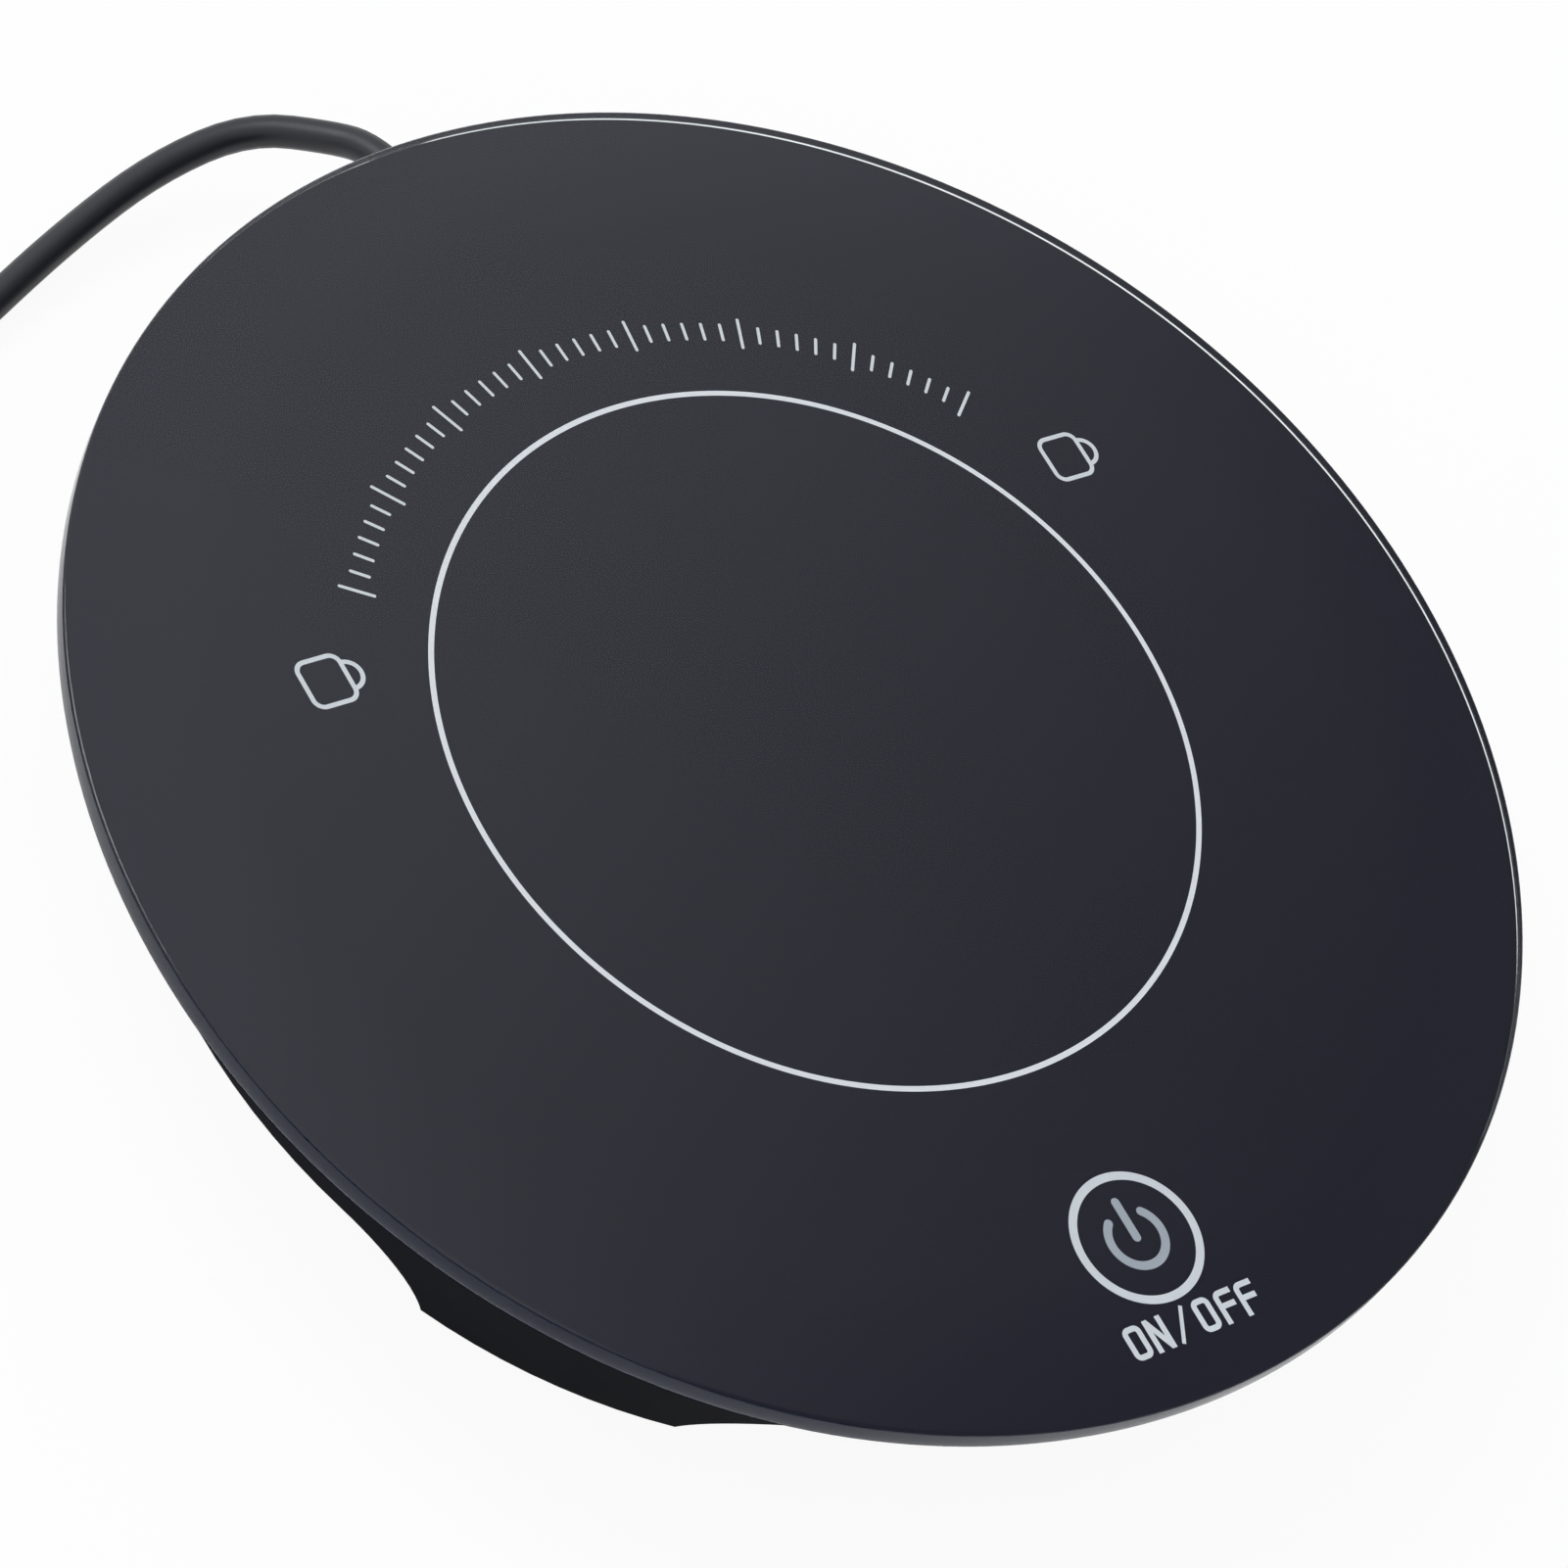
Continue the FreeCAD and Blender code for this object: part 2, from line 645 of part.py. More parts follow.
def screw(name, x, y, seat, shank, length, head, head_height, points_up):
    # A pan-head screw; seat is the face that the head bears on.
    seat = as_size(seat)
    if points_up:
        body = cylinder(name + "_shank", shank, length, x, y, seat)
        top = cylinder(name + "_head", head, head_height, x, y, seat - head_height)
        slot = cylinder(name + "_recess", head * 0.35, head_height * 0.6, x, y,
                        seat - head_height)
    else:
        body = cylinder(name + "_shank", shank, length, x, y, seat - length)
        top = cylinder(name + "_head", head, head_height, x, y, seat)
        slot = cylinder(name + "_recess", head * 0.35, head_height * 0.6, x, y,
                        seat + head_height * 0.4)
    return cut(name, fuse(name + "_whole", [body, top]), slot)


def make_housing_screws():
    screws = []
    for index, (x, y) in enumerate(foot_places):
        screws.append(screw("housing_screw_%d" % index, x, y,
                            floor_top - size("screw_land"), size("screw_radius"),
                            size("screw_length"), size("screw_head_radius"),
                            size("screw_head_height"), True))
    finish_node(group("housing_screws", screws), "housing_screws")


def small_screws(label, places, seat, points_up):
    screws = []
    for index, (x, y) in enumerate(places):
        screws.append(screw("%s_%d" % (label, index), x, y, seat,
                            size("small_screw_radius"), size("small_screw_length"),
                            size("small_head_radius"), size("small_head_height"),
                            points_up))
    finish_node(group(label, screws), label)


# Heater stack, pressed up against the glass by the bracket.

terminal_y = -board_back - size("terminal_setback")
terminal_x = size("wire_radius") * 3.0


def make_heater():
    finish_node(cylinder("heat_spreader", spreader_radius,
                         size("spreader_thickness"), z=spreader_under), "heat_spreader")
    finish_node(cylinder("heater_element", heater_radius,
                         size("heater_thickness"), z=heater_under), "heater_element")
    disc = cylinder("insulation_disc", insulation_radius,
                    size("insulation_thickness"), z=insulation_under)
    sensor_hole = cylinder("insulation_sensor", size("sensor_radius") + 0.3,
                           size("insulation_thickness"), y=-size("sensor_offset"),
                           z=insulation_under)
    fuse_slot = block("insulation_fuse", size("fuse_length") + 4.0,
                      size("fuse_radius") * 2 + 0.6, size("insulation_thickness"),
                      y=size("fuse_offset"), z=insulation_under)
    lead_slot = block("insulation_leads", terminal_x * 2 + size("wire_radius") * 4,
                      size("wire_radius") * 6, size("insulation_thickness"),
                      y=terminal_y, z=insulation_under)
    holes = fuse("insulation_holes", [sensor_hole, fuse_slot, lead_slot])
    finish_node(cut("insulation_pad", disc, holes), "insulation_pad")


def make_bracket():
    reach = bracket_pitch + size("bracket_arm") / 2
    parts = [cylinder("bracket_middle", size("bracket_radius"),
                      size("bracket_thickness"), z=bracket_under)]
    for index, angle in enumerate(bracket_angles):
        arm = doc.addObject("Part::Box", "bracket_arm_%d" % index)
        bind(arm, Length=bracket_pitch, Width=size("bracket_arm"),
             Height=size("bracket_thickness"))
        turn = FreeCAD.Rotation(FreeCAD.Vector(0, 0, 1), angle)
        arm.Placement = FreeCAD.Placement(FreeCAD.Vector(), turn)
        direction = as_size(angle)
        place(arm, size("bracket_arm") / 2 * sine(direction),
              -size("bracket_arm") / 2 * cosine(direction), bracket_under)
        x, y = bracket_places[index]
        tip = cylinder("bracket_tip_%d" % index, size("bracket_arm") / 2,
                       size("bracket_thickness"), x, y, bracket_under)
        parts.extend([arm, tip])
    whole = fuse("bracket_whole", parts)
    holes = [cylinder("bracket_sensor", size("sensor_radius") + 0.3,
                      size("bracket_thickness"), y=-size("sensor_offset"), z=bracket_under),
             block("bracket_fuse", size("fuse_length") + 4.0, size("fuse_radius") * 2 + 0.6,
                   size("bracket_thickness"), y=size("fuse_offset"), z=bracket_under)]
    for index, (x, y) in enumerate(bracket_places):
        holes.append(cylinder("bracket_hole_%d" % index,
                              size("small_screw_radius") + size("seat_gap"),
                              size("bracket_thickness"), x, y, bracket_under))
    finish_node(cut("heater_bracket", whole, fuse("bracket_holes", holes)), "heater_bracket")
    small_screws("bracket_screws", bracket_places, bracket_under, True)


# Wires and leads: straight runs joined by tangent arcs.

def run_length(first, second):
    return (second - first).Length


def rounded_path(points):
    # Each arc is as large as its two runs allow: 0.45 of the shorter run over the
    # tangent of half the turn. Returns the wire and the list of radii.
    edges = []
    radii = []
    start = points[0]
    for before, corner, after in zip(points, points[1:], points[2:]):
        inward = (before - corner).normalize()
        outward = (after - corner).normalize()
        half_turn = (math.pi - inward.getAngle(outward)) / 2
        reach = 0.45 * min(run_length(before, corner), run_length(corner, after))
        radius = reach / math.tan(half_turn)
        radii.append(radius)
        arc_start = corner + inward * reach
        arc_end = corner + outward * reach
        to_middle = (inward + outward).normalize()
        bow = radius / math.cos(half_turn) - radius
        edges.append(Part.LineSegment(start, arc_start).toShape())
        edges.append(Part.Arc(arc_start, corner + to_middle * bow, arc_end).toShape())
        start = arc_end
    edges.append(Part.LineSegment(start, points[-1]).toShape())
    return Part.Wire(edges), radii


def swept(wire, radius):
    # A round bar of the given radius along a wire.
    first = wire.Edges[0]
    start = first.valueAt(first.FirstParameter)
    heading = first.tangentAt(first.FirstParameter)
    ring = Part.Wire([Part.Circle(start, heading, radius).toShape()])
    solid = wire.makePipeShell([ring], True, False)
    if solid.ShapeType != "Solid":
        solid = Part.Solid(solid.Shells[0])
    return solid


def check_tube(label, solid, wire, radius, radii):
    expected = math.pi * radius * radius * wire.Length
    print("%s: length %.1f, volume over section times length %.4f, smallest radius %.1f" % (
        label, wire.Length, solid.Volume / expected, min(radii)))
    print("%s radii: %s" % (label, ", ".join("%.1f" % value for value in radii)))


def wire_bundle(label, routes, radius):
    solids = []
    for points in routes:
        wire, _ = rounded_path([FreeCAD.Vector(*point) for point in points])
        solids.append(swept(wire, radius))
    shape_node(label, Part.Compound(solids))


def make_sensors():
    wire = float(size("wire_radius")) * 0.5
    bead_under = float(heater_under - size("sensor_length"))
    y = -float(size("sensor_offset"))
    finish_node(cylinder("thermistor", size("sensor_radius"), size("sensor_length"),
                         y=-size("sensor_offset"), z=heater_under - size("sensor_length")),
                "thermistor")
    board_y = float(pin_row)
    top = float(board_top)
    low = float(bracket_under) - 1.8
    routes = []
    for side in (-1, 1):
        x = side * float(size("sensor_radius")) * 0.5
        seat = 6.0 + side * 0.7
        routes.append([(x, y, bead_under), (x, y, low), (x + 3.0, y - 7.0, low - 0.4),
                       (seat, board_y, low - 0.2), (seat, board_y, top)])
    wire_bundle("sensor_leads", routes, wire)
    cap = along_x(cylinder("thermal_fuse", size("fuse_radius"), size("fuse_length")))
    place(cap, -size("fuse_length") / 2, size("fuse_offset"),
          heater_under - size("fuse_radius"))
    finish_node(cap, "thermal_fuse")


# Control board with its parts.

def make_board():
    middle = (board_front + board_back) / 2.0
    slab = block("board_slab", size("board_width"), board_front - board_back,
                 size("board_thickness"), y=-middle, z=board_under)
    rounder = cylinder("board_round", board_front, size("board_thickness"),
                       z=board_under)
    blank = common("board_blank", slab, rounder)
    holes = []
    for index, (x, y) in enumerate(board_places):
        holes.append(cylinder("board_hole_%d" % index,
                              size("small_screw_radius") + size("seat_gap"),
                              size("board_thickness"), x, y, board_under))
    finish_node(cut("control_board", blank, fuse("board_holes", holes)), "control_board")
    small_screws("board_screws", board_places, board_top, False)
    key_y = -key_offset
    guide = tube("light_guide", size("guide_radius"), size("guide_radius") - size("guide_wall"),
                 ink_under - board_top, y=key_y, z=board_top)
    finish_node(guide, "light_guide")
    led_x = (size("spring_radius") + size("guide_radius") - size("guide_wall")) / 2
    led_x = led_x + size("spring_wire") / 4
    finish_node(block("power_led", 1.0, 0.6, 0.5, led_x, key_y, board_top), "power_led")
    chip_y = key_y + size("chip_setback")
    finish_node(block("control_chip", 5.0, 4.4, 1.4, -4.5, chip_y, board_top), "control_chip")
    finish_node(block("power_transistor", 6.4, 6.0, 2.3, 5.5, chip_y + 1.0, board_top),
                "power_transistor")
    between = (board_rows[0] + board_rows[1]) / 2
    finish_node(cylinder("board_capacitor", 2.2, 3.4, -board_screw_x, between, board_top),
                "board_capacitor")
    finish_node(block("lead_connector", 8.0, 4.4, size("connector_height"), 0.0, terminal_y,
                      board_top), "lead_connector")


def biarc(start, start_heading, end, end_heading):
    # Two arcs from start to end, each tangent to its end's heading and to the other.
    across = end - start
    both = start_heading + end_heading
    spread = 2.0 * (1.0 - start_heading.dot(end_heading))
    along = across.dot(both)
    square = across.dot(across)
    if spread < 1e-9:
        reach = square / (2.0 * along)
    else:
        reach = (math.sqrt(along * along + spread * square) - along) / spread
    joint = (start + start_heading * reach + end - end_heading * reach) * 0.5
    return [tangent_arc(start, start_heading, joint),
            tangent_arc(joint, mirrored(start_heading, joint - start), end)]


def mirrored(heading, chord):
    # The heading at the far end of an arc that starts with heading and spans chord.
    unit = chord * (1.0 / chord.Length)
    return unit * (2.0 * heading.dot(unit)) - heading


def tangent_arc(start, heading, end):
    chord = end - start
    unit = chord * (1.0 / chord.Length)
    side = heading - unit * heading.dot(unit)
    if side.Length < 1e-7:
        return Part.LineSegment(start, end).toShape()
    angle = math.atan2(side.Length, heading.dot(unit))
    bow = chord.Length / 2 * math.tan(angle / 2)
    return Part.Arc(start, (start + end) * 0.5 + side.normalize() * bow, end).toShape()


def biarc_edges(place_at, count):
    # place_at(k) gives a spot and a heading for k from 0 to count.
    edges = []
    for index in range(count):
        start, start_heading = place_at(index)
        end, end_heading = place_at(index + 1)
        pair = biarc(start, start_heading, end, end_heading)
        edges.extend(pair)
    return edges


def make_touch_spring():
    turns = float(size("spring_turns"))
    radius = float(size("spring_radius"))
    wire = float(size("spring_wire")) / 2
    low = float(board_top) + wire
    rise = (float(ink_under) - wire - low) / turns
    centre_y = -float(key_offset)

    def place_at(index):
        angle = index * math.pi / 2
        spot = FreeCAD.Vector(radius * math.cos(angle), centre_y + radius * math.sin(angle),
                              low + rise * index / 4)
        heading = FreeCAD.Vector(-radius * math.sin(angle), radius * math.cos(angle),
                                 rise / (2 * math.pi)).normalize()
        return spot, heading

    path = Part.Wire(biarc_edges(place_at, int(round(turns * 4))))
    shape_node("touch_spring", swept(path, wire))


def make_inner_wires():
    radius = float(size("wire_radius"))
    top = float(board_top)
    connector_top = top + float(size("connector_height"))
    drop = float(heater_under) - connector_top
    heater_leads = []
    for side in (-1, 1):
        foot = FreeCAD.Vector(side * float(terminal_x), float(terminal_y), connector_top)
        heater_leads.append(Part.makeCylinder(radius, drop, foot))
    shape_node("heater_leads", Part.Compound(heater_leads))
    level = float(size("cord_height"))
    back = float(tail_end)
    board_y = float(pin_row)
    span = back - board_y
    supply = []
    for side in (-1, 1):
        x = side * 0.8
        out = side * 0.8 - 6.1
        supply.append([(x, back, level), (x, back - 0.13 * span, level - 0.6),
                       (out + 1.5, back - 0.38 * span, level - 1.4),
                       (out - 0.5, back - 0.7 * span, level - 0.4),
                       (out, board_y, top + 2.6), (out, board_y, top)])
    wire_bundle("supply_wires", supply, radius)


# Strain relief, the lead inside the base and its clamp.

def make_relief():
    level = size("cord_height")
    flange = along_y(cylinder("relief_flange_disc", size("relief_flange"),
                              size("relief_flange_thickness")))
    place(flange, 0.0, relief_inside, level)
    neck = along_y(cylinder("relief_neck_rod", size("relief_neck"),
                            gland_back - gland_inside))
    place(neck, 0.0, gland_inside, level)
    sleeve = along_y(cone("relief_cone", size("relief_root"), size("relief_tip"),
                          size("relief_length")))
    place(sleeve, 0.0, gland_back, level)
    finish_node(fuse("strain_relief", [flange, neck, sleeve]), "strain_relief")
    tail = along_y(cylinder("cord_tail", cord_radius, size("tail_length")))
    place(tail, 0.0, tail_end, level)
    finish_node(tail, "cord_tail")
    bar = block("clamp_bar", size("clamp_span") * 2 + size("standoff_radius") * 2,
                size("clamp_width"), size("clamp_thickness"), 0.0, clamp_y, clamp_under)
    holes = []
    for index, (x, y) in enumerate(clamp_places):
        holes.append(cylinder("clamp_hole_%d" % index,
                              size("small_screw_radius") + size("seat_gap"),
                              size("clamp_thickness"), x, y, clamp_under))
    finish_node(cut("cord_clamp", bar, fuse("clamp_holes", holes)), "cord_clamp")
    small_screws("clamp_screws", clamp_places, clamp_under + size("clamp_thickness"), False)


# The lead outside: free stretch, put-away coil with its tie, short end and plug.

relief_end = gland_back + size("relief_length")
coil_low = size("coil_lift") + cord_radius
coil_high = coil_low + size("coil_pitch")
entry_x = -63.8
entry_y = float(relief_end) - 13.4
entry_angle = -55.0
coil_turns = 2.0 * float(size("coil_turns_each")) + 0.5
coil_outer = float(size("coil_radius")) + float(size("coil_pitch")) * (
    float(size("coil_turns_each")) + 0.25) / 2
coil_x = entry_x - coil_outer * math.cos(math.radians(entry_angle))
coil_y = entry_y - coil_outer * math.sin(math.radians(entry_angle))


def coil_place(turn):
    # The lead winds clockwise: in on the lower layer, up in the half turn where it
    # reverses, and out on the upper layer.
    pitch = float(size("coil_pitch"))
    half = coil_turns / 2
    angle = math.radians(entry_angle) - 2 * math.pi * turn
    radius = coil_outer - pitch * (half - abs(turn - half))
    climb = min(max((turn - half + 0.25) / 0.5, 0.0), 1.0)
    climb = climb * climb * (3 - 2 * climb)
    level = float(coil_low) + climb * float(coil_high - coil_low)
    return FreeCAD.Vector(coil_x + radius * math.cos(angle),
                          coil_y + radius * math.sin(angle), level)


def coil_frame(turn):
    step = 1e-4
    before = coil_place(max(turn - step, 0.0))
    after = coil_place(min(turn + step, coil_turns))
    return coil_place(turn), (after - before).normalize()


def coil_gap():
    # Least gap of the coil's tube to itself, on points along its middle line.
    steps = 40
    spots = [coil_place(index / steps) for index in range(int(coil_turns * steps) + 1)]
    least = 1e9
    for index, spot in enumerate(spots):
        for other in spots[index + steps // 2:]:
            least = min(least, spot.distanceToPoint(other))
    return least - float(size("cord_diameter"))


def cord_points():
    start = coil_frame(0.0)
    level = float(size("cord_height"))
    low = float(cord_radius)
    joint = start[0]
    lead_in = joint - start[1] * 9.0
    # Chosen by eye; y is counted from the end of the strain relief.
    points = [
        (0.0, 0.0, level),
        (-0.5, 3.6, 12.1),
        (-1.9, 6.9, 10.1),
        (-7.3, 12.0, 7.0),
        (-16.3, 11.7, 4.2),
        (-26.9, 7.8, 2.7),
        (-38.3, 2.4, low),
        (-48.8, -3.4, low),
    ]
    spots = [FreeCAD.Vector(x, float(relief_end) + y, z) for x, y, z in points]
    lead_in.z = joint.z
    return spots + [lead_in, joint]


def make_cord():
    radius = float(cord_radius)
    wire, radii = rounded_path(cord_points())
    solid = swept(wire, radius)
    check_tube("power_cord", solid, wire, radius, radii)
    shape_node("power_cord", solid)
    count = int(round(coil_turns * 4))
    step = coil_turns / count
    edges = biarc_edges(lambda index: coil_frame(index * step), count)
    first, first_heading = coil_frame(0.0)
    last, last_heading = coil_frame(coil_turns)
    path = Part.Wire(edges)
    coil = swept(path, radius)
    check_tube("cord_coil", coil, path, radius, [float(coil_outer)])
    print("cord_coil least gap to itself %.2f mm" % coil_gap())
    shape_node("cord_coil", coil)
    return last, last_heading, wire.Length + path.Length


def make_plug(last, heading):
    # A short end of lead leaves the coil and comes down to the plug beside it.
    radius = float(cord_radius)
    axis_height = float(size("plug_height")) / 2
    flat = FreeCAD.Vector(heading.x, heading.y, 0).normalize()
    outward = FreeCAD.Vector(flat.y, -flat.x, 0) * -1.0
    if outward.dot(last - FreeCAD.Vector(coil_x, coil_y, 0)) < 0:
        outward = outward * -1.0
    bend = last + flat * 10.0
    lower = last + flat * 20.0 + outward * 2.5
    lower.z = axis_height
    end = lower + flat * 9.0 + outward * 2.0
    run = (end - lower).normalize()
    wire, radii = rounded_path([last, bend, lower, end])
    solid = swept(wire, radius)
    check_tube("plug_lead", solid, wire, radius, radii)
    shape_node("plug_lead", solid)
    turn = FreeCAD.Rotation(FreeCAD.Vector(1, 0, 0), run)
    place_plug = FreeCAD.Placement(end, turn)
    width = float(size("plug_width"))
    height = float(size("plug_height"))
    length = float(size("plug_length"))
    neck = float(size("plug_neck"))
    cone_solid = Part.makeCone(radius * 1.15, height * 0.42, neck,
                               FreeCAD.Vector(0, 0, 0), FreeCAD.Vector(1, 0, 0))
    brick = Part.makeBox(length, width, height, FreeCAD.Vector(neck, -width / 2, -height / 2))
    long_edges = [edge for edge in brick.Edges if abs(edge.tangentAt(0).x) > 0.9]
    brick = brick.makeFillet(height * 0.3, long_edges)
    body = cone_solid.fuse(brick)
    inset = float(size("shell_inset"))
    shell_start = neck + length - inset
    shell_length = float(size("shell_length")) + inset
    shell_width = float(size("shell_width"))
    shell_height = float(size("shell_height"))
    wall = float(size("shell_wall"))
    sleeve = Part.makeBox(shell_length, shell_width, shell_height,
                          FreeCAD.Vector(shell_start, -shell_width / 2, -shell_height / 2))
    bore = Part.makeBox(shell_length, shell_width - 2 * wall, shell_height - 2 * wall,
                        FreeCAD.Vector(shell_start, -shell_width / 2 + wall,
                                       -shell_height / 2 + wall))
    body = body.cut(sleeve)
    shell = sleeve.cut(bore)
    tongue_height = float(size("tongue_height"))
    gap = float(size("tongue_gap"))
    tongue_length = shell_length - float(size("tongue_setback"))
    contact_width = float(size("contact_width"))
    tongue = Part.makeBox(tongue_length, shell_width - 2 * wall - 2 * gap, tongue_height,
                          FreeCAD.Vector(shell_start, -shell_width / 2 + wall + gap,
                                         -shell_height / 2 + wall))
    contacts = []
    contact_z = -shell_height / 2 + wall + tongue_height
    for share in (-0.29, -0.085, 0.085, 0.29):
        corner = FreeCAD.Vector(shell_start + gap, share * shell_width - contact_width / 2,
                                contact_z)
        contacts.append(Part.makeBox(tongue_length - 2 * contact_width, contact_width,
                                     float(size("contact_height")), corner))
    for label, shape in (("plug_body", body), ("plug_shell", shell), ("plug_tongue", tongue),
                         ("plug_contacts", Part.Compound(contacts))):
        piece = shape_node(label, shape)
        piece.Placement = place_plug
    print("plug lies at %.1f, %.1f, heading %.3f, %.3f" % (end.x, end.y, run.x, run.y))
    return wire.Length


def make_tie():
    # A flat strap round the coil's bundle, on the side away from the object.
    gap = float(size("seat_gap"))
    thick = float(size("tie_thickness"))
    radius = float(cord_radius)
    inner = coil_outer - float(size("coil_pitch")) * coil_turns / 2 - radius - gap
    outer = coil_outer + radius + gap
    low = float(size("coil_lift")) - gap
    high = float(coil_high) + radius + gap
    width = float(size("tie_width"))
    angle = entry_angle + 150.0
    box = Part.makeBox(outer - inner + 2 * thick, width, high - low + 2 * thick,
                       FreeCAD.Vector(inner - thick, -width / 2, low - thick))
    hole = Part.makeBox(outer - inner, width, high - low,
                        FreeCAD.Vector(inner, -width / 2, low))
    across = [edge for edge in box.Edges if abs(edge.tangentAt(0).y) > 0.9]
    box = box.makeFillet(thick * 1.6, across)
    across = [edge for edge in hole.Edges if abs(edge.tangentAt(0).y) > 0.9]
    hole = hole.makeFillet(thick * 0.6, across)
    strap = shape_node("cord_tie", box.cut(hole))
    strap.Placement = FreeCAD.Placement(
        FreeCAD.Vector(coil_x, coil_y, 0), FreeCAD.Rotation(FreeCAD.Vector(0, 0, 1), angle))


make_glass()
make_print()
make_bond()
make_frame()
make_base()
make_rubber_feet()
make_housing_screws()
make_heater()
make_bracket()
make_sensors()
make_board()
make_touch_spring()
make_inner_wires()
make_relief()
coil_end, coil_heading, cord_so_far = make_cord()
cord_total = cord_so_far + make_plug(coil_end, coil_heading)
make_tie()
doc.recompute()
print("lead outside the base: %.0f mm" % cord_total)

faults = []
for item in doc.Objects:
    if "Invalid" in item.State or "Error" in item.State:
        faults.append("%s is %s" % (item.Name, item.State))
for piece in node_list:
    shape = piece.Shape
    if shape.isNull() or not shape.isValid():
        faults.append("%s has no valid shape" % piece.Label)
if faults:
    raise RuntimeError("; ".join(faults))
for piece in node_list:
    piece.Shape.exportStep("parts/%s.step" % piece.Label)
print("%d sub-parts written" % len(node_list))
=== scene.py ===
import math

import bmesh
import bpy
import mathutils
import numpy as np
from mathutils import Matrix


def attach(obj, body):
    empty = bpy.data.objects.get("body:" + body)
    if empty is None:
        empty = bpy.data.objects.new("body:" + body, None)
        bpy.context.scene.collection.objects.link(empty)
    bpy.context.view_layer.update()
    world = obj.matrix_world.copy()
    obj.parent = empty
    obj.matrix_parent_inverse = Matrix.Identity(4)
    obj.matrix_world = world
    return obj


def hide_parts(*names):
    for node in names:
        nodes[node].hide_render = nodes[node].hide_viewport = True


# Mug warmer: glass disc on a low black base, seen from above and in front, to the left.
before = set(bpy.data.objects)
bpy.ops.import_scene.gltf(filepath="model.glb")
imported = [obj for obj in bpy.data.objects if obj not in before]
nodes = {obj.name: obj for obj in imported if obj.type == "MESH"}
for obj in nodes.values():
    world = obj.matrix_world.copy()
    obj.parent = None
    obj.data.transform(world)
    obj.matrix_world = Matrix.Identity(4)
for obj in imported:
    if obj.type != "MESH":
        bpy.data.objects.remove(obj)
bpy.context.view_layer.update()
mm = 0.001
weldReach = 2e-7  # metres between points that are one
flatReach = 1e-8  # metres under which an edge has no length


# Surfaces on a grid

def gridPart(grid, wrapRows=False, wrapColumns=False, inkIndex=0):
    # rows x columns x 3 points, one quad between each four neighbours
    rows, columns = grid.shape[:2]
    index = np.arange(rows * columns).reshape(rows, columns)
    if wrapRows:
        index = np.vstack([index, index[:1]])
    if wrapColumns:
        index = np.hstack([index, index[:, :1]])
    quads = np.stack([index[:-1, :-1], index[1:, :-1], index[1:, 1:], index[:-1, 1:]], axis=-1)
    return grid.reshape(-1, 3), quads.reshape(-1, 4), inkIndex


def makePiece(name, parts, finishes, creaseAngle=40.0):
    # joins the parts, closes seams and poles, and turns every face outwards
    mesh = bpy.data.meshes.new(name)
    starts = np.cumsum([0] + [len(part[0]) for part in parts[:-1]])
    points = np.vstack([part[0] for part in parts])
    quads = np.vstack([part[1] + start for part, start in zip(parts, starts)])
    inks = np.concatenate([np.full(len(part[1]), part[2]) for part in parts])
    mesh.from_pydata(points.tolist(), [], quads.tolist())
    mesh.polygons.foreach_set("material_index", inks.astype(np.int32))
    for finish in finishes:
        mesh.materials.append(finish)
    work = bmesh.new()
    work.from_mesh(mesh)
    bmesh.ops.remove_doubles(work, verts=work.verts, dist=weldReach)
    bmesh.ops.dissolve_degenerate(work, edges=work.edges, dist=flatReach)
    bmesh.ops.recalc_face_normals(work, faces=work.faces)
    work.to_mesh(mesh)
    work.free()
    mesh.polygons.foreach_set("use_smooth", np.ones(len(mesh.polygons), dtype=bool))
    mesh.set_sharp_from_angle(angle=math.radians(creaseAngle))
    piece = bpy.data.objects.new(name, mesh)
    bpy.context.scene.collection.objects.link(piece)
    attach(piece, "root")
    return piece


def lathe(profile, steps, centre=(0.0, 0.0), inkIndex=0):
    # radius and height turned about an upright axis through centre: (r cos a, r sin a, z)
    profile = np.asarray(profile, dtype=float)
    angle = np.linspace(0, 2 * np.pi, steps, endpoint=False)[:, None]
    x = centre[0] + profile[None, :, 0] * np.cos(angle)
    y = centre[1] + profile[None, :, 0] * np.sin(angle)
    z = np.broadcast_to(profile[None, :, 1], x.shape)
    return gridPart(np.stack([x, y, z], axis=-1) * mm, wrapRows=True, inkIndex=inkIndex)


def corner(radius, height, round, start, end, steps=6):
    # arc of a turned profile about the point (radius, height), from start to end in degrees
    angle = np.radians(np.linspace(start, end, steps))
    return np.stack([radius + round * np.cos(angle), height + round * np.sin(angle)], axis=-1)


def atHeight(radii, height):
    # points of a turned profile that all lie at one height
    return np.stack([radii, np.full(len(radii), height)], axis=-1)


def signedPower(value, power):
    return np.sign(value) * np.abs(value) ** power


def roundedLoop(halfWidth, halfHeight, round, steps):
    # rounded rectangle: corner centre by the signs of cos and sin, plus round (cos a, sin a)
    angle = (np.arange(steps) + 0.5) * 2 * np.pi / steps
    out = np.stack([np.cos(angle), np.sin(angle)], axis=-1)
    centre = np.sign(out) * np.array([halfWidth - round, halfHeight - round])
    return centre + round * out, out


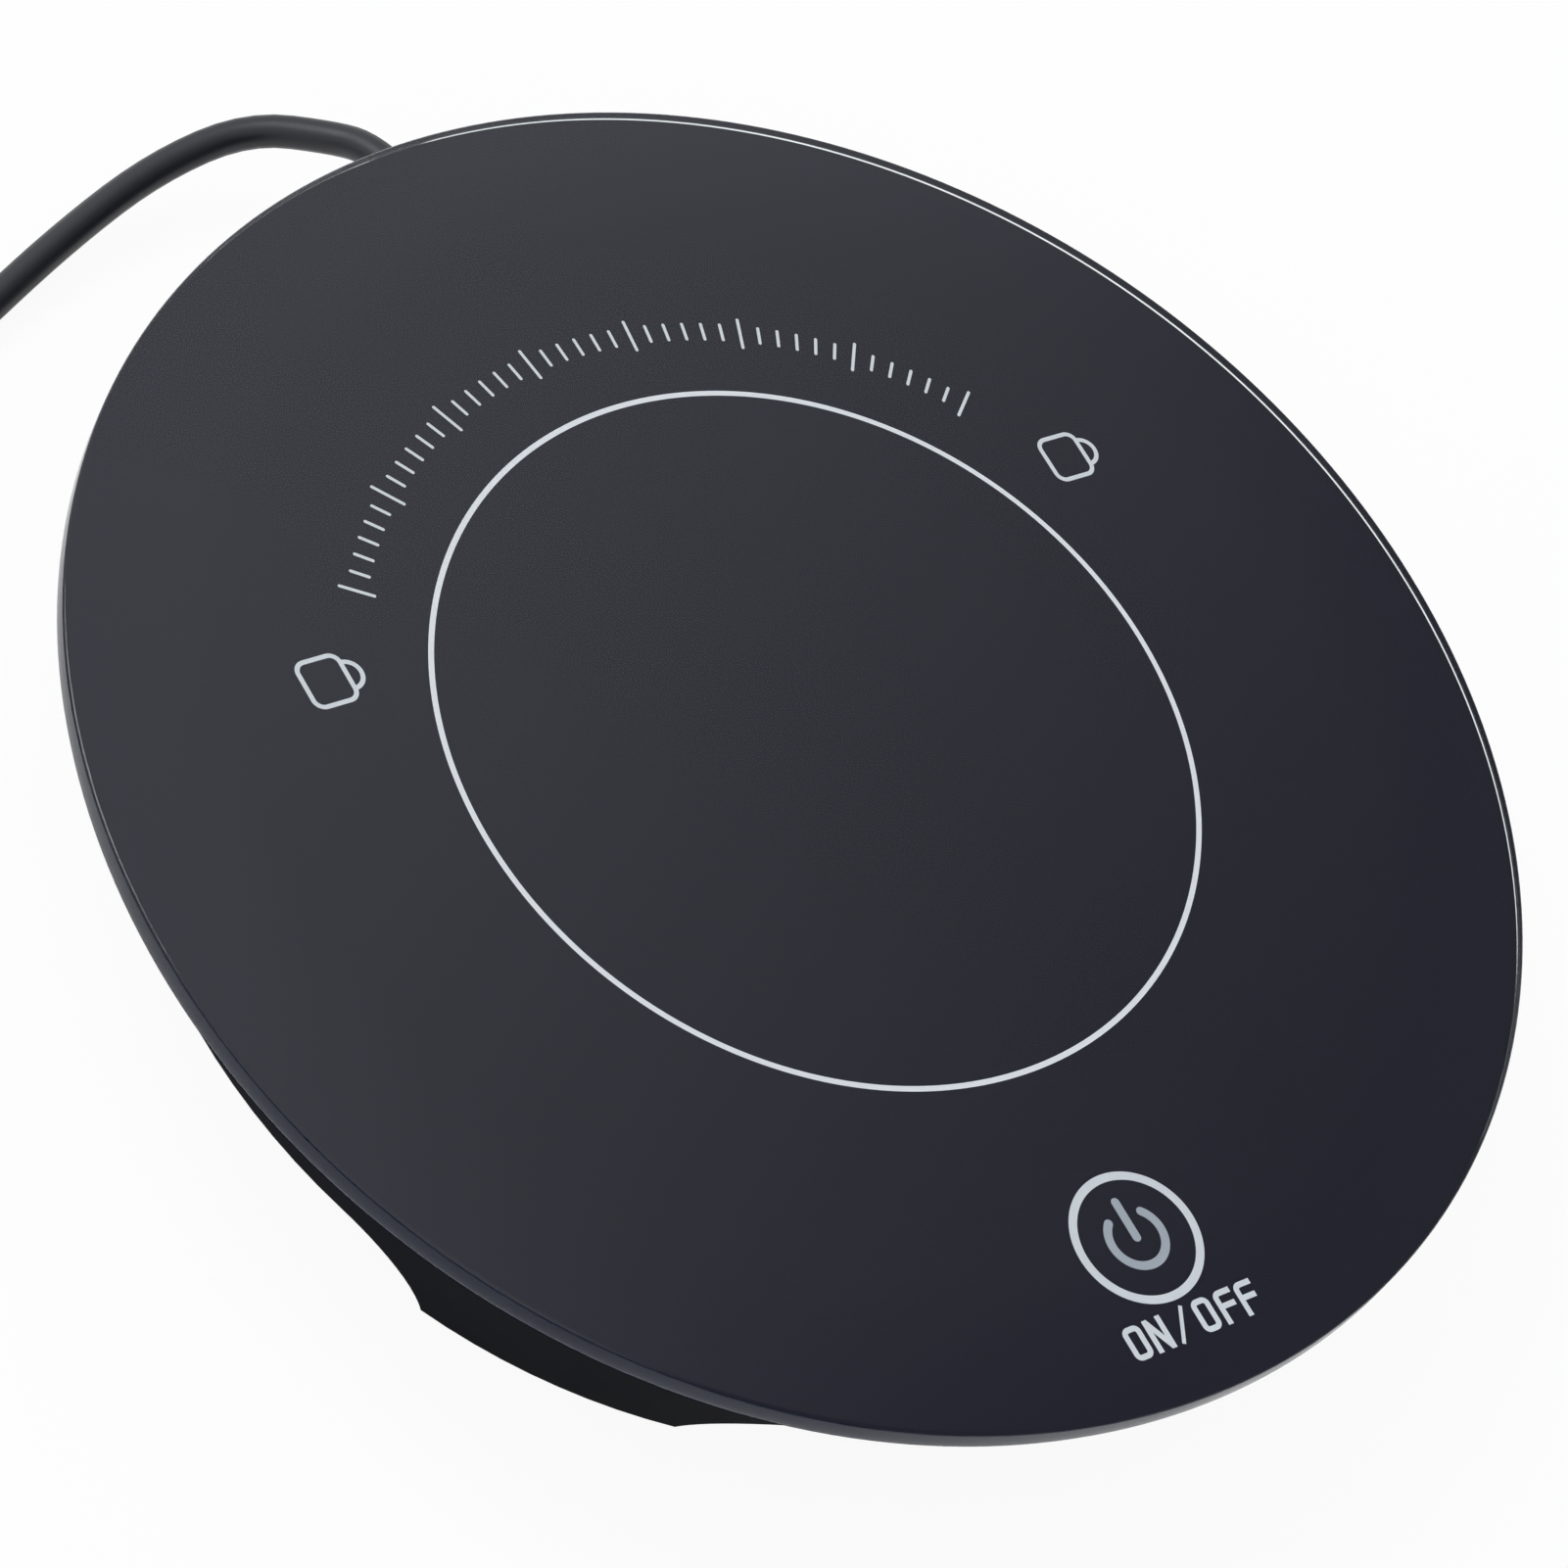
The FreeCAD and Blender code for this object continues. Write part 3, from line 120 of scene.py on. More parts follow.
def stroke(path, width, top, bottom, closed=False, square=False, inkIndex=0):
    # flat bar along a path. An open one ends square or in half discs, where the half width
    # follows the cosine and the place the sine of an angle that runs to a right angle.
    path = np.asarray(path, dtype=float)
    if closed:
        heading = np.roll(path, -1, axis=0) - np.roll(path, 1, axis=0)
        half = np.full(len(path), width / 2)
    else:
        heading = np.gradient(path, axis=0)
        turn = np.radians([90.0] if square else np.linspace(90, 0, 7)[:-1])
        first = heading[0] / np.linalg.norm(heading[0])
        last = heading[-1] / np.linalg.norm(heading[-1])
        reach = 0.0 if square else width / 2
        head = path[0] - first * reach * np.sin(turn)[:, None]
        tail = path[-1] + last * reach * np.sin(turn[::-1])[:, None]
        half = np.concatenate([width / 2 * np.cos(turn), np.full(len(path), width / 2),
                               width / 2 * np.cos(turn[::-1])])
        path = np.vstack([head, path, tail])
        heading = np.vstack([np.tile(first, (len(turn), 1)), heading,
                             np.tile(last, (len(turn), 1))])
    heading = heading / np.linalg.norm(heading, axis=1, keepdims=True)
    side = np.stack([-heading[:, 1], heading[:, 0]], axis=-1) * half[:, None]
    left = path + side
    right = path - side
    rings = [np.column_stack([spot, np.full(len(path), level)])
             for spot, level in ((left, top), (right, top), (right, bottom), (left, bottom))]
    return gridPart(np.stack(rings, axis=1) * mm, wrapRows=closed, wrapColumns=True,
                    inkIndex=inkIndex)


# Finishes: mottled colour, uneven gloss and a fine grain, all on Object coordinates

# what a look holds where it doesn't say otherwise; scales per metre, depth in metres
plainLook = dict(metallic=0.0, ior=1.5, transmission=0.0, specular=0.5, tint=(1.0, 1.0, 1.0),
                 sheen=0.0, coat=0.0, coatRoughness=0.2, glow=0.0, mottleScale=90.0,
                 mottleDetail=4.0, mottleLow=0.3, mottleHigh=0.7, grain=0.0, grainScale=2500.0,
                 grainDetail=3.0, grainDepth=0.00004, edge=0.0)
plainSockets = {
    "Metallic": "metallic", "IOR": "ior", "Transmission Weight": "transmission",
    "Specular IOR Level": "specular", "Sheen Weight": "sheen", "Coat Weight": "coat",
    "Coat Roughness": "coatRoughness", "Emission Strength": "glow",
}


def noiseOn(tree, place, scale, detail):
    noise = tree.nodes.new("ShaderNodeTexNoise")
    noise.inputs["Scale"].default_value = scale
    noise.inputs["Detail"].default_value = detail
    tree.links.new(place.outputs["Object"], noise.inputs["Vector"])
    return noise.outputs["Fac"]


def finishMaterial(name, ownLook):
    look = {**plainLook, **ownLook}
    material = bpy.data.materials.new(name)
    material.use_nodes = True
    tree = material.node_tree
    links = tree.links
    shader = tree.nodes["Principled BSDF"]
    for socket, key in plainSockets.items():
        shader.inputs[socket].default_value = look[key]
    shader.inputs["Specular Tint"].default_value = (*look["tint"], 1.0)
    # the emission, in the look's own colour at the look's glow, is painted light: the surface
    # shines by itself
    shader.inputs["Emission Color"].default_value = (*look["colour"], 1.0)
    place = tree.nodes.new("ShaderNodeTexCoord")
    mottle = noiseOn(tree, place, look["mottleScale"], look["mottleDetail"])
    colours = tree.nodes.new("ShaderNodeMix")
    colours.data_type = "RGBA"
    colours.inputs["A"].default_value = (*look["colour"], 1.0)
    colours.inputs["B"].default_value = (*look.get("colourTo", look["colour"]), 1.0)
    links.new(mottle, colours.inputs["Factor"])
    links.new(colours.outputs["Result"], shader.inputs["Base Color"])
    gloss = tree.nodes.new("ShaderNodeMapRange")
    gloss.inputs["From Min"].default_value = look["mottleLow"]
    gloss.inputs["From Max"].default_value = look["mottleHigh"]
    gloss.inputs["To Min"].default_value = look["roughness"][0]
    gloss.inputs["To Max"].default_value = look["roughness"][1]
    links.new(mottle, gloss.inputs["Value"])
    links.new(gloss.outputs["Result"], shader.inputs["Roughness"])
    if look["grain"] > 0:
        bump = tree.nodes.new("ShaderNodeBump")
        bump.inputs["Strength"].default_value = look["grain"]
        bump.inputs["Distance"].default_value = look["grainDepth"]
        grain = noiseOn(tree, place, look["grainScale"], look["grainDetail"])
        links.new(grain, bump.inputs["Height"])
        if look["edge"] > 0:
            soften = tree.nodes.new("ShaderNodeBevel")  # moulded edges aren't knife sharp
            soften.inputs["Radius"].default_value = look["edge"] * mm
            links.new(soften.outputs["Normal"], bump.inputs["Normal"])
        links.new(bump.outputs["Normal"], shader.inputs["Normal"])
    return material


slotLooks = {
    "tempered_glass": dict(colour=(0.90, 0.94, 0.95), roughness=(0.0, 0.0), transmission=1.0,
                           ior=1.52, mottleScale=60.0),
    "black_ink": dict(colour=(0.0034, 0.0046, 0.0215), colourTo=(0.0037, 0.0050, 0.0225),
                      roughness=(0.55, 0.7), specular=0.0, mottleScale=45.0),
    # the pale ink's glow is painted light: the print shines by itself on top of the light that
    # reaches it
    "pale_ink": dict(colour=(0.76, 0.77, 0.80), colourTo=(0.72, 0.73, 0.76),
                     roughness=(0.5, 0.65), specular=0.0, glow=0.42, mottleScale=900.0),
    "adhesive": dict(colour=(0.02, 0.02, 0.022), colourTo=(0.03, 0.03, 0.032),
                     roughness=(0.6, 0.8), grain=0.2),
    "black_plastic": dict(colour=(0.0085, 0.0090, 0.0116), colourTo=(0.0105, 0.0110, 0.0138),
                          roughness=(0.36, 0.48), specular=0.003, mottleScale=120.0, grain=0.22,
                          grainScale=3200.0, edge=0.35),
    "black_rubber": dict(colour=(0.012, 0.012, 0.012), colourTo=(0.019, 0.019, 0.019),
                         roughness=(0.72, 0.88), grain=0.3, grainScale=2200.0),
    "zinc_steel": dict(colour=(0.58, 0.59, 0.60), colourTo=(0.48, 0.49, 0.50), metallic=1.0,
                       roughness=(0.25, 0.4), grain=0.08),
    "aluminium_sheet": dict(colour=(0.72, 0.73, 0.74), colourTo=(0.64, 0.65, 0.66), metallic=1.0,
                            roughness=(0.3, 0.45), grain=0.08),
    "heater_foil": dict(colour=(0.42, 0.20, 0.06), colourTo=(0.34, 0.15, 0.05),
                        roughness=(0.25, 0.4), coat=0.3, grain=0.1),
    "insulation_felt": dict(colour=(0.70, 0.69, 0.64), colourTo=(0.60, 0.59, 0.55),
                            roughness=(0.85, 0.98), grain=0.8, grainDepth=0.0002, sheen=0.2),
    "spring_steel": dict(colour=(0.50, 0.51, 0.53), colourTo=(0.42, 0.43, 0.45), metallic=1.0,
                         roughness=(0.28, 0.42), grain=0.06),
    "sensor_epoxy": dict(colour=(0.03, 0.02, 0.02), colourTo=(0.05, 0.03, 0.03),
                         roughness=(0.2, 0.35), grain=0.05),
    "ceramic_white": dict(colour=(0.78, 0.78, 0.75), colourTo=(0.72, 0.72, 0.69),
                          roughness=(0.35, 0.5), grain=0.08),
    "board_green": dict(colour=(0.02, 0.12, 0.045), colourTo=(0.015, 0.09, 0.035),
                        roughness=(0.3, 0.45), coat=0.3, grain=0.15),
    "clear_guide": dict(colour=(0.80, 0.80, 0.78), colourTo=(0.74, 0.74, 0.72),
                        roughness=(0.2, 0.3), transmission=0.6, grain=0.05),
    "chip_black": dict(colour=(0.018, 0.018, 0.02), colourTo=(0.026, 0.026, 0.028),
                       roughness=(0.45, 0.6), grain=0.15),
    "connector_white": dict(colour=(0.72, 0.71, 0.66), colourTo=(0.66, 0.65, 0.60),
                            roughness=(0.4, 0.55), grain=0.12),
    "wire_red": dict(colour=(0.35, 0.02, 0.02), colourTo=(0.28, 0.015, 0.015),
                     roughness=(0.35, 0.5), grain=0.1),
    "cord_black": dict(colour=(0.0066, 0.0074, 0.0122), colourTo=(0.0086, 0.0096, 0.0146),
                       roughness=(0.40, 0.50), specular=0.5, mottleScale=180.0, grain=0.12,
                       grainScale=2600.0),
    "strap_black": dict(colour=(0.012, 0.012, 0.013), colourTo=(0.022, 0.022, 0.024),
                        roughness=(0.8, 0.95), sheen=0.3, grain=0.9, grainScale=2400.0,
                        grainDepth=0.00016),
    "plug_steel": dict(colour=(0.60, 0.61, 0.62), colourTo=(0.52, 0.53, 0.54), metallic=1.0,
                       roughness=(0.22, 0.36), grain=0.06),
    "tongue_white": dict(colour=(0.68, 0.68, 0.66), colourTo=(0.62, 0.62, 0.60),
                         roughness=(0.4, 0.5), grain=0.08),
    "contact_gold": dict(colour=(0.80, 0.58, 0.22), colourTo=(0.70, 0.50, 0.20), metallic=1.0,
                         roughness=(0.2, 0.35), grain=0.05),
}
slotNodes = {
    "tempered_glass": ["glass_plate"],
    "black_ink": ["back_print"],
    "pale_ink": ["printed_marks"],
    "adhesive": ["bond_ring"],
    "black_plastic": ["upper_frame", "base_housing", "cord_clamp"],
    "black_rubber": ["rubber_feet"],
    "zinc_steel": ["housing_screws", "bracket_screws", "board_screws", "clamp_screws"],
    "aluminium_sheet": ["heat_spreader", "board_capacitor"],
    "heater_foil": ["heater_element"],
    "insulation_felt": ["insulation_pad"],
    "spring_steel": ["heater_bracket", "touch_spring"],
    "sensor_epoxy": ["thermistor"],
    "cord_black": ["sensor_leads", "strain_relief", "cord_tail", "power_cord", "cord_coil",
                   "plug_lead", "plug_body"],
    "ceramic_white": ["thermal_fuse", "power_led"],
    "board_green": ["control_board"],
    "clear_guide": ["light_guide"],
    "chip_black": ["control_chip", "power_transistor"],
    "connector_white": ["lead_connector"],
    "wire_red": ["heater_leads", "supply_wires"],
    "strap_black": ["cord_tie"],
    "plug_steel": ["plug_shell"],
    "tongue_white": ["plug_tongue"],
    "contact_gold": ["plug_contacts"],
}
finishes = {slotName: finishMaterial(slotName, look) for slotName, look in slotLooks.items()}
for slotName, names in slotNodes.items():
    for nodeName in names:
        mesh = nodes[nodeName].data
        mesh.materials.clear()
        mesh.materials.append(finishes[slotName])
print("finishes ready:", len(finishes))


# Glass plate

# sideTo is the angle on the upper round where the side's finish, with its painted shade, gives
# way to the face's
glassPlate = {"radius": 65.0, "under": 21.82, "top": 24.02, "round": 0.32, "steps": 256,
              "faceRings": 5, "sideRings": 1, "sideTo": 30.0, "crease": 50.0}
# the plate's side shows near black with faint blue streaks: its reflection is tinted dark and
# blue, painted shade, and its blue-grey tint is mottled into streaks
paintedShadeEdge = dict(colour=(0.78, 0.86, 0.92), colourTo=(0.90, 0.94, 0.95), transmission=1.0,
                  ior=1.52, roughness=(0.10, 0.26), tint=(0.20, 0.27, 0.38), mottleScale=55.0)


def makeGlass(size):
    # three turned strips: flat underside, side with both its rounds, and the face
    edge = size["radius"] - size["round"]
    low = size["under"] + size["round"]
    high = size["top"] - size["round"]
    flat = np.linspace(0, edge, size["faceRings"] + 1)[:-1]
    rise = np.linspace(low, high, size["sideRings"] + 2)[1:-1]
    lower = corner(edge, low, size["round"], -90, 0)
    upper = corner(edge, high, size["round"], 0, size["sideTo"])
    crown = corner(edge, high, size["round"], size["sideTo"], 90)
    underside = np.vstack([atHeight(flat, size["under"]), lower[:1]])
    side = np.vstack([lower, np.stack([np.full(len(rise), size["radius"]), rise], axis=-1),
                      upper])
    face = np.vstack([crown, atHeight(flat[::-1], size["top"])])
    strips = [lathe(strip, size["steps"], inkIndex=ink)
              for strip, ink in ((underside, 0), (side, 1), (face, 0))]
    piece = makePiece("glassDisc", strips,
                      [finishes["tempered_glass"], finishMaterial("paintedShadeEdge", paintedShadeEdge)],
                      creaseAngle=size["crease"])
    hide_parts("glass_plate")


makeGlass(glassPlate)
print("glass plate done")


# Print behind the glass

# the ink is bonded to the glass, so its face lies just inside the glass and no air is between
printSheet = {"radius": 64.85, "under": 21.70, "top": 21.84, "steps": 256}
marks = {
    "top": 21.858, "bottom": 21.842, "overlap": 0.001, "crease": 30.0,
    "shift": (0.6, 0.4),  # brings the marks to where the photo has them
    "zoneRadius": 34.4, "zoneLine": 0.5, "zoneSteps": 256,
    "keyY": -50.8, "keyRadius": 5.6, "keyLine": 0.75, "keySteps": 96,
    "symbolRadius": 2.55, "symbolLine": 0.78, "symbolGap": 84.0, "symbolSteps": 48,
    "barLength": 3.35,
    "letterTop": -57.35, "letterHeight": 3.0, "letterWidth": 1.85, "letterLine": 0.5,
    "letterRound": 0.42, "letterSteps": 48, "bendSteps": 9, "bendReach": 0.5,
    "diagonalReach": 0.6, "armRaise": 0.1, "slashWidth": 1.6, "slashLine": 0.7,
    "letters": (("O", -6.3), ("N", -4.05), ("/", -1.5), ("O", 0.95), ("F", 3.3), ("F", 5.5)),
    "tickRadius": 41.0, "tickFrom": 144.0, "tickTo": 39.0, "tickCount": 43, "tickLine": 0.3,
    "tickShort": 0.8, "tickLong": 1.5, "ticksPerLong": 6,
    "mugPlaces": ((-40.0, 17.0), (38.5, 18.0)), "mugLine": 0.42, "mugHalf": (2.0, 2.2),
    "mugRound": 0.9, "mugSteps": 48, "earRadius": 1.3, "earAngle": 80.0, "earSteps": 16,
    "inks": (("zoneInk", (0.80, 0.82, 0.86)), ("keyInk", (0.68, 0.71, 0.75)),
             ("symbolInk", (0.38, 0.42, 0.475))),
    "inkFade": 0.93,
}
zoneInk, keyInk, symbolInk = range(3)  # places in the list of inks


def paintedGlowInk(name, colour):
    # every ink keeps the pale ink's glow, painted light that makes the print shine by itself
    look = dict(slotLooks["pale_ink"])
    look["colour"] = colour
    look["colourTo"] = tuple(value * marks["inkFade"] for value in colour)
    return finishMaterial(name, look)


def onCircle(centre, radius, angle):
    # centre + radius (cos a, sin a)
    return np.stack([centre[0] + radius * np.cos(angle), centre[1] + radius * np.sin(angle)],
                    axis=-1)


def arcPath(centre, radius, start, end, steps):
    return onCircle(centre, radius, np.radians(np.linspace(start, end, steps)))


def wholeCircle(centre, radius, steps):
    return onCircle(centre, radius, np.linspace(0, 2 * np.pi, steps, endpoint=False))


def straight(start, end, steps=5):
    share = np.linspace(0, 1, steps)[:, None]
    return np.asarray(start) * (1 - share) + np.asarray(end) * share


def letterPaths(letter, left, size):
    # each stroke's middle line and whether it closes, in a box of the letter's width and height
    half = size["letterLine"] / 2
    low = size["letterTop"] - size["letterHeight"] + half
    high = size["letterTop"] - half
    west = left + half
    east = left + size["letterWidth"] - half
    bow = size["letterRound"]
    if letter == "O":
        loop, _ = roundedLoop((east - west) / 2, (high - low) / 2, bow, size["letterSteps"])
        return [(loop + np.array([(west + east) / 2, (low + high) / 2]), True)]
    if letter == "N":
        over = half * size["diagonalReach"]
        return [(straight((west, low - half), (west, high + half)), False),
                (straight((west, high + over), (east, low - over)), False),
                (straight((east, low - half), (east, high + half)), False)]
    if letter == "F":
        bend = arcPath((west + bow, high - bow), bow, 180, 90, size["bendSteps"])
        reach = size["bendReach"]
        top = np.vstack([straight((west, low - half), (west, high - reach)), bend,
                         straight((west + reach, high), (east + half, high))])
        middle = (low + high) / 2 + size["armRaise"]
        arm = straight((west, middle), (east + half - size["armRaise"], middle))
        return [(top, False), (arm, False)]
    return [(straight((left, low - half), (left + size["slashWidth"], high + half)), False)]


def keyParts(size):
    # ring, broken ring and bar of the touch key
    top, bottom = size["top"], size["bottom"]
    key = (0.0, size["keyY"])
    ring = wholeCircle(key, size["keyRadius"], size["keySteps"])
    start = 90 + size["symbolGap"] / 2
    arc = arcPath(key, size["symbolRadius"], start, start + 360 - size["symbolGap"],
                  size["symbolSteps"])
    bar = straight((0.0, key[1]), (0.0, key[1] + size["barLength"]))
    return [stroke(ring, size["keyLine"], top, bottom, closed=True, inkIndex=keyInk),
            stroke(arc, size["symbolLine"], top, bottom, inkIndex=symbolInk),
            stroke(bar, size["symbolLine"], top, bottom, inkIndex=symbolInk)]


def letterParts(size):
    # strokes of one letter cross, so each lies a hair lower than the one before
    parts = []
    for letter, left in size["letters"]:
        width = size["letterLine"] * (size["slashLine"] if letter == "/" else 1.0)
        for order, (path, closed) in enumerate(letterPaths(letter, left, size)):
            parts.append(stroke(path, width, size["top"] - size["overlap"] * order,
                                size["bottom"], closed=closed, square=True, inkIndex=keyInk))
    return parts


def tickParts(size):
    parts = []
    angles = np.linspace(size["tickFrom"], size["tickTo"], size["tickCount"])
    for count, angle in enumerate(angles):
        reach = size["tickShort"] if count % size["ticksPerLong"] else size["tickLong"]
        out = np.array([math.cos(math.radians(angle)), math.sin(math.radians(angle))])
        path = straight(out * (size["tickRadius"] - reach), out * (size["tickRadius"] + reach))
        parts.append(stroke(path, size["tickLine"], size["top"], size["bottom"],
                            inkIndex=keyInk))
    return parts


def mugParts(size):
    # outline of a plain mug: rounded box with an arc for its ear
    parts = []
    halfWidth, halfHeight = size["mugHalf"]
    for centre in size["mugPlaces"]:
        cup, _ = roundedLoop(halfWidth, halfHeight, size["mugRound"], size["mugSteps"])
        ear = arcPath((centre[0] + halfWidth, centre[1]), size["earRadius"], size["earAngle"],
                      -size["earAngle"], size["earSteps"])
        parts.append(stroke(cup + np.array(centre), size["mugLine"], size["top"],
                            size["bottom"], closed=True, inkIndex=keyInk))
        parts.append(stroke(ear, size["mugLine"], size["top"] - size["overlap"],
                            size["bottom"], inkIndex=keyInk))
    return parts


def makeMarks(size):
    zone = wholeCircle((0.0, 0.0), size["zoneRadius"], size["zoneSteps"])
    parts = [stroke(zone, size["zoneLine"], size["top"], size["bottom"], closed=True,
                    inkIndex=zoneInk)]
    parts += keyParts(size) + letterParts(size) + tickParts(size) + mugParts(size)
    inks = [paintedGlowInk(name, colour) for name, colour in size["inks"]]
    offset = np.array([*size["shift"], 0.0]) * mm
    parts = [(points + offset, quads, ink) for points, quads, ink in parts]
    piece = makePiece("printedMarks", parts, inks, creaseAngle=size["crease"])
    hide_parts("printed_marks")


def makePrint(size):
    # thin turned disc
    profile = [(0, size["under"]), (size["radius"], size["under"]),
               (size["radius"], size["top"]), (0, size["top"])]
    piece = makePiece("backPrint", [lathe(profile, size["steps"])],
                      [finishes["black_ink"]])
    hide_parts("back_print")


makePrint(printSheet)
makeMarks(marks)
print("print done")


# Rubber feet

rubberPads = {"radius": 3.9, "height": 1.4, "round": 0.35, "x": 36.89, "y": 33.45,
              "dishLand": 0.6, "dishDepth": 0.12, "dishPower": 4, "dishRings": 5, "steps": 48}


def makePads(size):
    # low disc with a rounded lower edge; the dish underneath is depth (1 - (r / reach)^power)
    edge = size["radius"] - size["round"]
    reach = edge - size["dishLand"]
    dish = np.linspace(0, reach, size["dishRings"])
    under = size["dishDepth"] * np.clip(1 - (dish / reach) ** size["dishPower"], 0, 1)
    profile = np.vstack([
        np.stack([dish, under], axis=-1),
        corner(edge, size["round"], size["round"], -90, 0),
        [(size["radius"], size["height"]), (0, size["height"])]])
    parts = [lathe(profile, size["steps"], (size["x"] * side, size["y"] * end))
             for side in (-1, 1) for end in (-1, 1)]
    piece = makePiece("rubberPads", parts, [finishes["black_rubber"]])
    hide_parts("rubber_feet")


makePads(rubberPads)
print("rubber pads done")


# Lead: strain relief, one line of cord, its tie and the plug

sleeve = {"height": 13.0, "inside": 52.64, "wall": 54.04, "face": 58.73, "end": 68.73,
          "cap": 0.1, "flange": 3.9, "neck": 2.7, "root": 3.3, "tip": 2.1,
          "ribs": 5, "ribDepth": 0.16, "rings": 61, "steps": 48}
cord = {
    "diameter": 3.0, "length": 1.15, "exit": (0.0, 0.06873, 0.013),  # length and exit in metres
    # given in millimetres, as in the part's source
    "route": ((0.0, 68.73, 13.0), (-0.5, 72.33, 12.1), (-1.9, 75.63, 10.1), (-7.3, 80.73, 7.0),
              (-16.3, 80.43, 4.2), (-26.9, 76.53, 2.7), (-38.3, 71.13, 1.5),
              (-48.8, 65.33, 1.5)),
    "turns": 9.25, "pitch": 3.5, "outer": 26.094, "entryAngle": -55.0, "leadIn": 9.0,
    "joint": (-63.8, 55.33), "low": 2.4, "high": 5.9, "stepTurns": 0.5, "perTurn": 16,
    "nudge": 1e-4,  # turns either side of the place where a heading is taken
    # ahead and outwards: bend and lower point from the coil, end from the lower point
    "bendAt": 10.0, "lowerAt": (20.0, 2.5), "endAt": (9.0, 2.0),
    "order": 3, "resolution": 5, "bevelResolution": 4,
}
tie = {"angle": 95.0, "inner": 8.156, "outer": 27.844, "low": 0.65, "high": 7.65,
       "thickness": 0.6, "width": 5.0, "round": 0.95, "steps": 72, "bandSteps": 16,
       "acrossPower": 0.25, "thickPower": 0.6}
plug = {"width": 15.6, "height": 8.0, "length": 21.0, "neck": 7.0, "axis": 4.0,
        "neckFrom": 1.75, "neckTo": 3.35, "grooves": 4, "grooveDepth": 0.22, "neckRings": 25,
        "swell": 2.0, "swellRings": 7, "front": 0.8, "frontRings": 5,
        "roundPower": 2.0, "gripPower": 4.2, "steps": 64}


def coilCentre(size):
    angle = math.radians(size["entryAngle"])
    return np.array([size["joint"][0] - size["outer"] * math.cos(angle),
                     size["joint"][1] - size["outer"] * math.sin(angle)])


def coilLine(turn, size):
    # inwards by one pitch a turn on the lower layer, up by a smooth step, c c (3 - 2 c), about
    # the middle, and outwards again on the upper layer
    half = size["turns"] / 2
    angle = np.radians(size["entryAngle"]) - 2 * np.pi * turn
    radius = size["outer"] - size["pitch"] * (half - np.abs(turn - half))
    climb = np.clip((turn - half) / size["stepTurns"] + 0.5, 0, 1)
    climb = climb * climb * (3 - 2 * climb)
    centre = coilCentre(size)
    return np.stack([centre[0] + radius * np.cos(angle), centre[1] + radius * np.sin(angle),
                     size["low"] + climb * (size["high"] - size["low"])], axis=-1)


def flatHeading(turn, size):
    # level direction in which the coil runs
    step = coilLine(np.array([turn - size["nudge"], turn + size["nudge"]]), size)
    heading = step[1] - step[0]
    heading[2] = 0.0
    return heading / np.linalg.norm(heading)


def plugEnd(size):
    # last coil point, then the short end that comes down beside the coil
    last = coilLine(np.array([size["turns"]]), size)[0]
    ahead = flatHeading(size["turns"], size)
    outward = np.array([-ahead[1], ahead[0], 0.0])
    if outward[:2] @ (last[:2] - coilCentre(size)) < 0:
        outward = -outward
    bend = last + ahead * size["bendAt"]
    lower = last + ahead * size["lowerAt"][0] + outward * size["lowerAt"][1]
    lower[2] = plug["axis"]
    end = lower + ahead * size["endAt"][0] + outward * size["endAt"][1]
    return bend, lower, end


def makeSleeve(size):
    # turned about the lead: flange, neck, then a taper whose ribs are a raised cosine
    share = np.linspace(0, 1, size["rings"])
    taper = size["root"] + (size["tip"] - size["root"]) * share
    ribs = size["ribDepth"] * (1 - np.cos(share * size["ribs"] * 2 * np.pi))
    along = size["face"] + share * (size["end"] - size["face"])
    profile = np.vstack([
        [(0, size["inside"]), (size["flange"], size["inside"]), (size["flange"], size["wall"]),
         (size["neck"], size["wall"]), (size["neck"], size["face"])],
        np.stack([taper - ribs, along], axis=-1),
        [(0, size["end"] + size["cap"])]])
    angle = np.linspace(0, 2 * np.pi, size["steps"], endpoint=False)[:, None]
    x = profile[None, :, 0] * np.cos(angle)
    z = size["height"] + profile[None, :, 0] * np.sin(angle)
    y = np.broadcast_to(profile[None, :, 1], x.shape)
    part = gridPart(np.stack([x, y, z], axis=-1) * mm, wrapRows=True)
    piece = makePiece("strainSleeve", [part], [finishes["cord_black"]])
    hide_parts("strain_relief")
    return piece


def makeCord(size):
    start = coilLine(np.array([0.0]), size)[0]
    leadIn = start - flatHeading(0.0, size) * size["leadIn"]
    leadIn[2] = start[2]
    turn = np.arange(0, int(size["turns"] * size["perTurn"]) + 1) / size["perTurn"]
    coil = coilLine(turn, size)
    centre = coilCentre(size)
    # the line runs inside its points, so they stand a little further out
    coil[1:-1, :2] = centre + (coil[1:-1, :2] - centre) / math.cos(math.pi / size["perTurn"])
    bend, lower, end = plugEnd(size)
    points = np.vstack([size["route"], [leadIn], coil, [bend, lower, end]]) * mm
    line = bpy.data.curves.new("leadLine", "CURVE")
    line.dimensions = "3D"
    spline = line.splines.new("NURBS")
    spline.points.add(len(points) - 1)
    spline.points.foreach_set("co", np.column_stack([points, np.ones(len(points))]).ravel())
    spline.order_u = size["order"]
    spline.use_endpoint_u = True
    spline.resolution_u = size["resolution"]
    line.bevel_depth = size["diameter"] / 2 * mm
    line.bevel_resolution = size["bevelResolution"]
    line.use_fill_caps = True
    line.materials.append(finishes["cord_black"])
    piece = bpy.data.objects.new("lead", line)
    bpy.context.scene.collection.objects.link(piece)
    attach(piece, "root")
    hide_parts("power_cord", "cord_coil", "plug_lead")
    return piece


